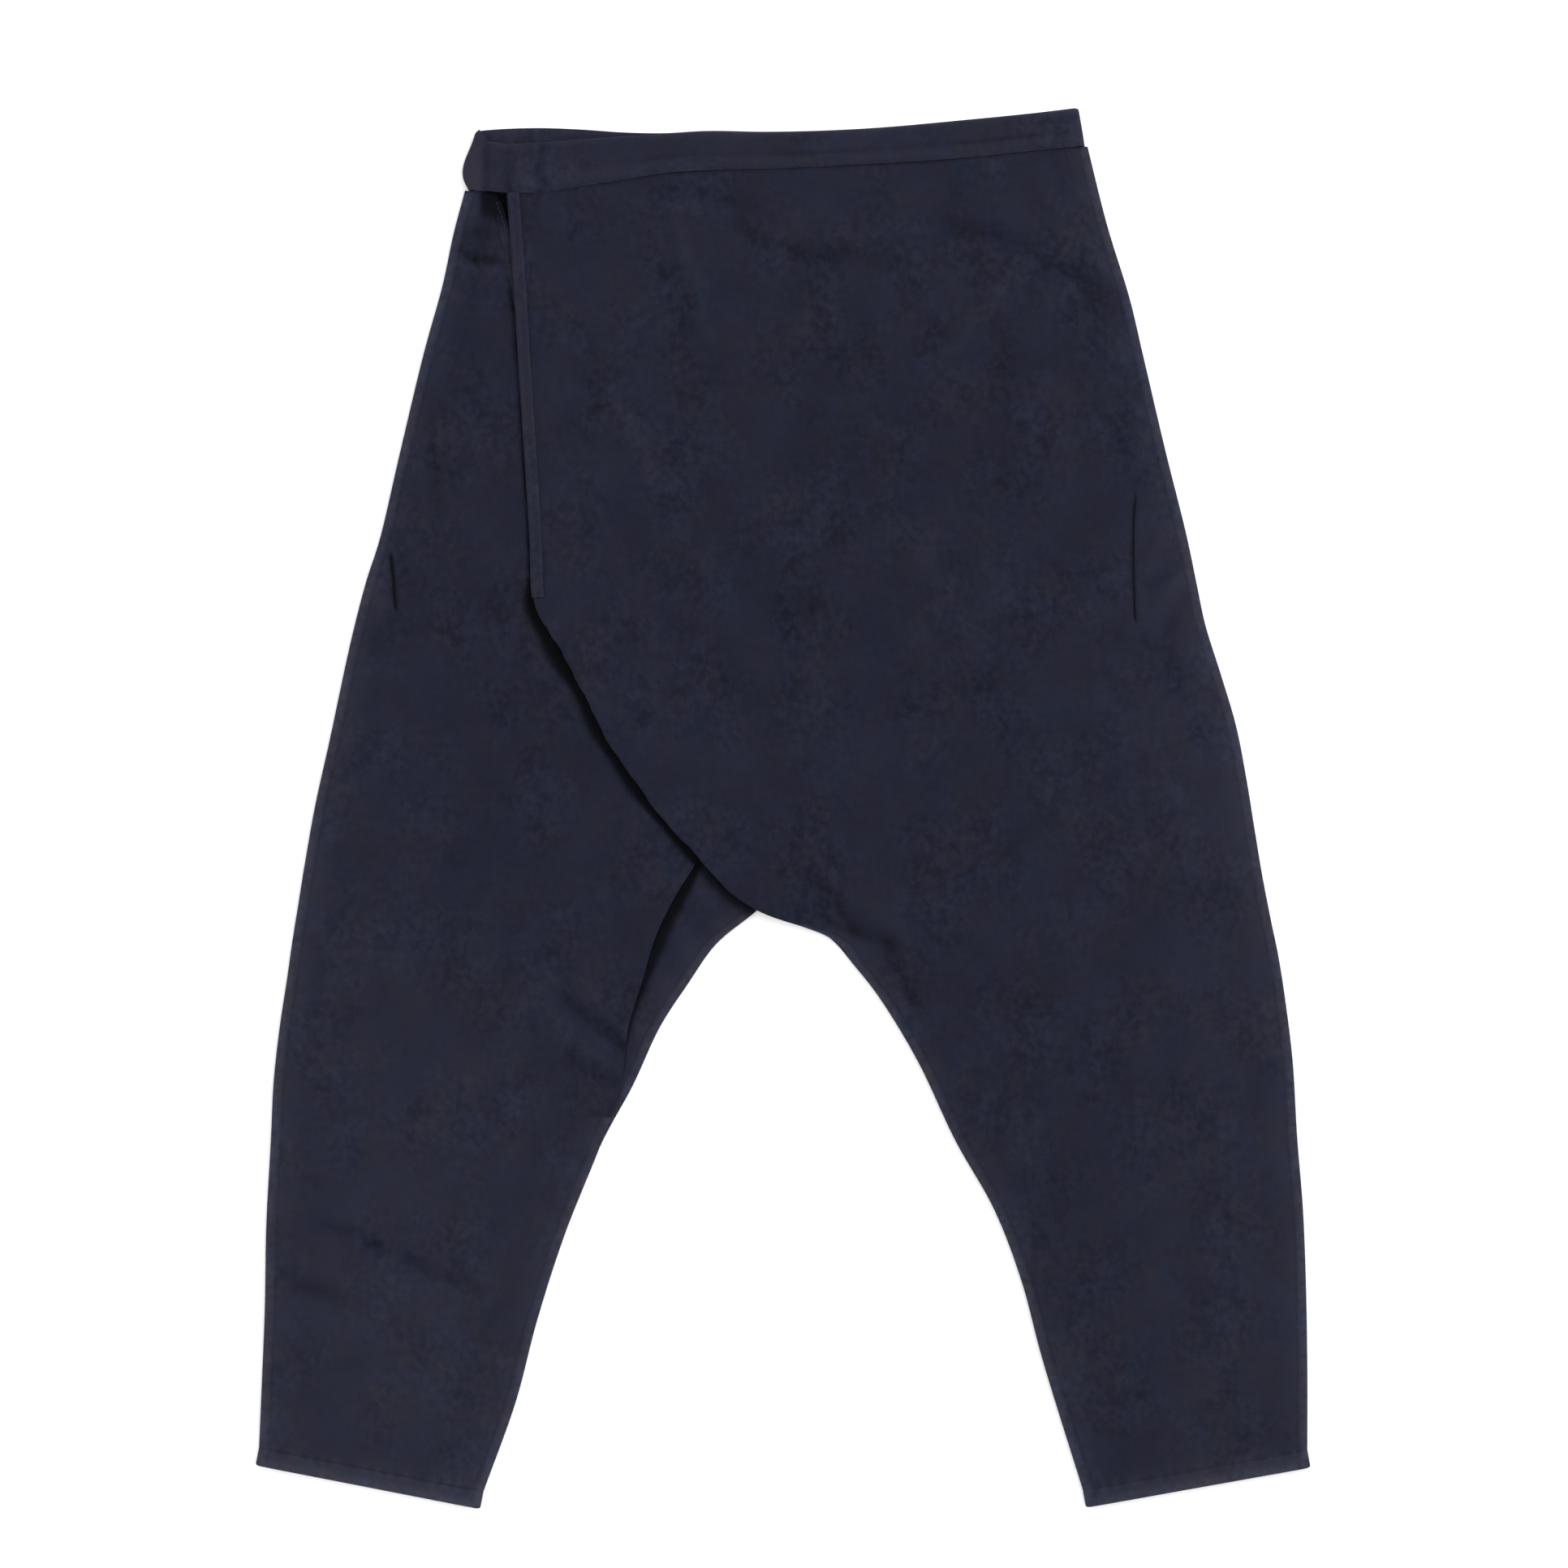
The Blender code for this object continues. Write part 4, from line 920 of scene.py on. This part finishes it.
def declare(piece, grid, nodes, closed=False):
    """The piece rides on the one body, stands for its solids, and states the size it was cut to."""
    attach(piece, "root")
    if nodes:
        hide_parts(*nodes)
    area = cell_area(grid, closed)
    ring = np.concatenate([grid, grid[:, :1]], 1) if closed else grid
    across = np.linalg.norm(np.diff(ring, axis=1), axis=2).sum(1).max() * MM
    along = np.linalg.norm(np.diff(grid, axis=0), axis=2).sum(0).max() * MM
    flat = (round(max(float(across), 0.0105), 4), round(float(along), 3))
    area = min(area, flat[0] * flat[1])
    area = max(area, 0.31 * flat[0] * flat[1])
    print("cut", piece.name, flat, round(area, 4))


def surface_path(grid, row_or_column, index, keep, up, lift=CLOTH / 2):
    """Points of one row or column of a grid, raised to its outer face."""
    line = grid[index, keep] if row_or_column == "row" else grid[keep, index]
    line = np.array(line)
    line[:, 2] += up * lift
    return line, up


# The sheets
wrap_grid, wrap_marks, wrap_seam, wrap_rows, edge_points = wrap_sheet()
wrap_hemmed, wrap_marks, hem_rows = with_hem(wrap_grid, wrap_marks, -1)
wrap_upright = np.concatenate([wrap_seam, np.zeros(hem_rows)])
wrap_side = np.concatenate([np.ones(len(wrap_seam)), np.zeros(hem_rows)])
front_wrap = cloth("wrap_front", wrap_hemmed, COTTON, upright=(wrap_upright, wrap_side), marks=wrap_marks)

right_grid, right_marks, right_seam, right_rows = right_sheet()
right_hemmed, right_marks, hem_rows = with_hem(right_grid, right_marks, -1)
right_first = np.concatenate([[0, 0], np.ones(len(right_seam) - 2), np.zeros(hem_rows)])
right_last = np.concatenate([right_seam, np.zeros(hem_rows)])
front_right = cloth("right_front", right_hemmed, COTTON, upright=(right_first, right_last), marks=right_marks)

backs = {}
for name, table, side_first in (("right_back", RIGHT_LEG, True), ("left_back", LEFT_LEG, False)):
    grid, marks, turn_first, turn_last = back_sheet(table, side_first)
    hemmed, marks, hem_rows = with_hem(grid, marks, 1)
    upright = tuple(np.concatenate([turn, np.zeros(hem_rows)]) for turn in (turn_first, turn_last))
    backs[name] = (cloth(name, hemmed, COTTON, upright=upright, marks=marks), hemmed, grid)

gusset_grid, gusset_marks = gusset_sheet()
gusset = cloth("right_gusset", gusset_grid, COTTON, upright=(None, np.ones(len(gusset_grid))), marks=gusset_marks)


# The bindings of the opening
def placket_strip():
    keep = (wrap_rows >= BINDING_ROWS[0]) & (wrap_rows <= BINDING_ROWS[1])
    rows = wrap_rows[keep]
    radius = straight(LEFT_LEG, "fold_radius", rows)
    fold = column(LEFT_LEG, "fold_level", rows)
    first, last, _ = section_lines(LEFT_LEG, rows, "wrap", "side")
    share = np.clip(1 - rows / 2, 0, 1) ** 2
    first[:, 1] += share * (band_edge("bottom", first[:, 0]) - 0.3 - LEFT_LEG["wrap_y"][0])
    inward = np.concatenate([unit(last - first), np.zeros((len(rows), 1))], 1)
    edge = np.concatenate([first, np.zeros((len(rows), 1))], 1)
    centre = np.stack([0 * rows, 0 * rows, fold + radius, radius], 1)
    return strip_on(edge, inward, centre, radius + CLOTH + 0.08, 7.2, rows), edge, inward, centre, radius


strip_grid, strip_edge, strip_inward, strip_centre, strip_radius = placket_strip()
strip_rows, strip_columns = strip_grid.shape[:2]
strip_tone = 0.16 + 0.12 * np.cos(np.linspace(0, np.pi * 4, strip_columns))[None]
strip_marks = [("tone", strip_tone), ("painted_shade", np.zeros((1, 1))), ("edge", np.full((1, 1), 0.03))]
placket = cloth("placket_strip", strip_grid, BINDING_COTTON, 0.8, marks=strip_marks)


def under_strip():
    places = np.linspace(*UNDER_BINDING_ROWS, 40)
    edge = through(right_rows, right_grid[1:, -1], places)
    within = through(right_rows, right_grid[1:, -len(TURN) - 2], places)
    inward = within - edge
    inward[:, 2] = 0
    inward = unit(inward)
    strip = []
    for k in range(len(places)):
        row = [edge[k] + inward[k] * f + np.array((0, 0, 1.0)) for f in (6.4, 4.8, 3.2, 1.6, 0.2)]
        row += [edge[k] + inward[k] * f + np.array((0, 0, z)) for f, z in ((-0.7, 0.7), (-1.0, 0.0), (-0.7, -0.6))]
        strip.append(row)
    return np.array(strip)


under_grid = under_strip()
# Painted light and shade across the strip, darker at its inner edge and on its roll, and painted shade near the hole
# below the waistband
under_marks = [("tone", 0.12 + 0.14 * np.array([[-2, 1, -1, 1, 0, 0, -1, -1]])), ("painted_shade", 0.92 * np.exp(-(((424 - under_grid[..., 1]) / 24) ** 4))), ("edge", np.full((1, 1), 0.03))]
under = cloth("placket_under_strip", under_grid, BINDING_COTTON, 0.8, marks=under_marks)


def waistband_sheet():
    """Band of folded cloth: up its inner face, over the top fold and down its outer face."""
    spans = np.linspace(0, 1, 150)
    around = np.radians(np.linspace(75, -75, 7))
    stations = [(s, BAND_HEIGHT - BAND_WALL, 0.0, 0.0, 1.0) for s in spans]
    stations += [(1.0, BAND_HEIGHT / 2 + BAND_TURN * np.sin(a), BAND_TURN * np.cos(a), np.cos(a), np.sin(a)) for a in around]
    stations += [(s, BAND_WALL, 0.0, 0.0, -1.0) for s in spans[::-1]]
    stations += [(0.0, BAND_HEIGHT / 2 - BAND_TURN * np.sin(a), -BAND_TURN * np.cos(a), -np.cos(a), -np.sin(a)) for a in around]
    ups = np.linspace(0, 1, 18)
    profile = [(s, -BAND_LAYER, 0.0) for s in ups]
    profile += [(1.0, -BAND_LAYER * np.cos(a), BAND_LAYER * np.sin(a)) for a in np.radians((30, 60, 90, 120, 150))]
    profile += [(s, BAND_LAYER, 0.0) for s in ups[::-1]]
    grid, tone, painted_shade, cut = [], [], [], []
    for share_up, offset, over in profile:
        right_x = through(BAND_SIDES["share"], BAND_SIDES["right_x"], share_up)
        left_x = through(BAND_SIDES["share"], BAND_SIDES["left_x"], share_up)
        inset = BAND_HEIGHT / 2
        s, level, turn, nx, nz = (np.array(v) for v in zip(*stations))
        x = right_x + inset + s * (left_x - right_x - 2 * inset) + turn
        front = (level - BAND_WALL) / (BAND_HEIGHT - 2 * BAND_WALL)
        bottom = band_edge("bottom", x)
        beyond = eased((-205.5 - x) / 2) * front
        front_top = band_edge("front_top", x)
        front_top = front_top + beyond * (band_edge("back_top", x) - front_top)
        top = front * front_top + (1 - front) * band_edge("back_top", x) - BAND_LAYER
        y = bottom + share_up * (top - bottom) + over
        outside = offset > 0
        crease = np.exp(-(((share_up - BAND_CREASE) / 0.07) ** 2)) * eased((x + 130) / 60) * eased((202 - x) / 12)
        lower_fold = np.exp(-(((x + 189) / 3.0) ** 2)) + 0.9 * np.exp(-(((x + 167) / 3.2) ** 2))
        puff = 0.25 * np.sin(share_up * np.pi / BAND_CREASE) * (share_up < BAND_CREASE)
        dip = outside * (front**4 * (0.5 * crease + 1.0 * lower_fold - puff) + 0.9 * beyond)
        wave = 0.12 * np.sin(x / 9 + 3 * np.sin(x / 37)) * outside
        grid.append(np.stack([x + nx * (offset - dip + wave), y, level + nz * (offset - dip + wave)], 1))
        # Painted shade in the crease and in the lower folds, a painted highlight along the top fold, and lighter and
        # darker marks along the lower strip, at the ends and on the inner face
        tone.append(0.06 + outside * front * (0.13 * np.exp(-((share_up - 0.2) / 0.13) ** 2) - 0.05 - 0.14 * crease * (1 + 0.7 * np.sin(x / 19)) - 0.26 * lower_fold) + 0.09 * outside * front * np.exp(-(((x + 178) / 7) ** 2)) + 0.42 * beyond * outside - 0.3 * outside * front * np.exp(-(((x + 204) / 1.5) ** 2)) + 0.3 * outside * front * eased((x - 197) / 2.5) + 0.2 * eased((share_up - 0.88) / 0.1) + 0.1 * (1 - outside))
        painted_shade.append(0.1 * outside * crease)
        cut.append(np.stack([x, share_up * 30 + offset + 0 * x], 1))
    grid = np.array(grid)
    grid[..., 2] = np.maximum(grid[..., 2], CLOTH / 2)
    marks = [("tone", np.array(tone)), ("painted_shade", np.array(painted_shade)), ("edge", np.full((1, 1), 0.03))]
    return grid, marks, np.array(cut)


band_grid, band_marks, band_cut = waistband_sheet()
waistband = cloth("folded_waistband", band_grid, BAND_COTTON, closed=True, cut=band_cut, marks=band_marks, one_sided=())

# Stitches
middle = slice(12, -12)
hem_row = len(wrap_grid) - 1
right_hem_row = len(right_grid) - 1
wrap_keep = slice(edge_points + 1, -7)
hem_paths = [
    surface_path(wrap_hemmed, "row", hem_row, wrap_keep, 1),
    surface_path(right_hemmed, "row", right_hem_row, slice(7, -7), 1),
    surface_path(backs["right_back"][1], "row", len(backs["right_back"][2]) - 1, slice(7, -7), -1, CLOTH / 2 - 0.2),
    surface_path(backs["left_back"][1], "row", len(backs["left_back"][2]) - 1, slice(7, -7), -1, CLOTH / 2 - 0.2),
]
hem_stitches = stitch_run("hem_stitches", hem_paths[:2], HEM_THREAD)

placket_paths = []
for inset in (1.5, 5.4):
    path = strip_edge + strip_inward * inset
    path[:, 2] = strip_centre[:, 2] + strip_radius + CLOTH + 0.08 + 0.4 + 0.05
    placket_paths.append((path, 1))
placket_stitches = stitch_run("placket_stitches", placket_paths, THREAD_NAVY)

under_path = under_grid[:, 3].copy()
under_path[:, 2] += 0.4
under_stitches = stitch_run("under_strip_stitches", [(under_path, 1)], THREAD_NAVY)

lower_x = np.linspace(-208, 202, 200)
band_path = np.stack([lower_x, band_edge("bottom", lower_x) + 1.6, np.full_like(lower_x, BAND_HEIGHT + 0.02)], 1)
band_stitches = stitch_run("waistband_stitches", [(band_path, 1)], HEM_THREAD)

# What each piece is and stands for
declare(backs["right_back"][0], backs["right_back"][1], ["back_right"])
declare(backs["left_back"][0], backs["left_back"][1], ["back_left"])
declare(front_right, right_hemmed, ["front_right", "hem_right"])
declare(gusset, gusset_grid, ["gusset_right"])
declare(front_wrap, wrap_hemmed, ["front_wrap", "hem_left"])
declare(placket, strip_grid, ["placket_binding"])
declare(under, under_grid, ["placket_under_binding"])
declare(waistband, band_grid, ["waistband"], closed=True)

# Floor, light and camera
bpy.ops.mesh.primitive_plane_add(size=14, location=(0, 0, -0.0002))
floor = bpy.context.active_object
floor.name = "floor"
white = bpy.data.materials.new("pale_floor")
white.use_nodes = True
white.node_tree.nodes["Principled BSDF"].inputs["Base Color"].default_value = (0.95, 0.95, 0.95, 1)
white.node_tree.nodes["Principled BSDF"].inputs["Roughness"].default_value = 1.0
white.node_tree.nodes["Principled BSDF"].inputs["Specular IOR Level"].default_value = 0.0
floor.data.materials.append(white)

world = bpy.data.worlds.new("studio")
world.use_nodes = True
world.node_tree.nodes["Background"].inputs["Color"].default_value = (1, 1, 1, 1)
world.node_tree.nodes["Background"].inputs["Strength"].default_value = WORLD_STRENGTH
bpy.context.scene.world = world

lamp = bpy.data.lights.new("key", "AREA")
lamp.shape = "DISK"
lamp.size = 0.9
lamp.energy = KEY_STRENGTH
key = bpy.data.objects.new("key", lamp)
key.location = (1.3, 1.7, 1.9)
key.rotation_euler = (np.array(key.location) * 0).tolist()
bpy.context.scene.collection.objects.link(key)
aim = -key.location.normalized()
key.rotation_mode = "QUATERNION"
key.rotation_quaternion = aim.to_track_quat("-Z", "Y")

lens = bpy.data.cameras.new("camera")
lens.lens = CAMERA_LENS
lens.sensor_width = 36.0
camera = bpy.data.objects.new("camera", lens)
camera.location = CAMERA_PLACE
bpy.context.scene.collection.objects.link(camera)
bpy.context.scene.camera = camera
bpy.context.scene.view_settings.view_transform = "Standard"
bpy.context.scene.view_settings.look = "None"
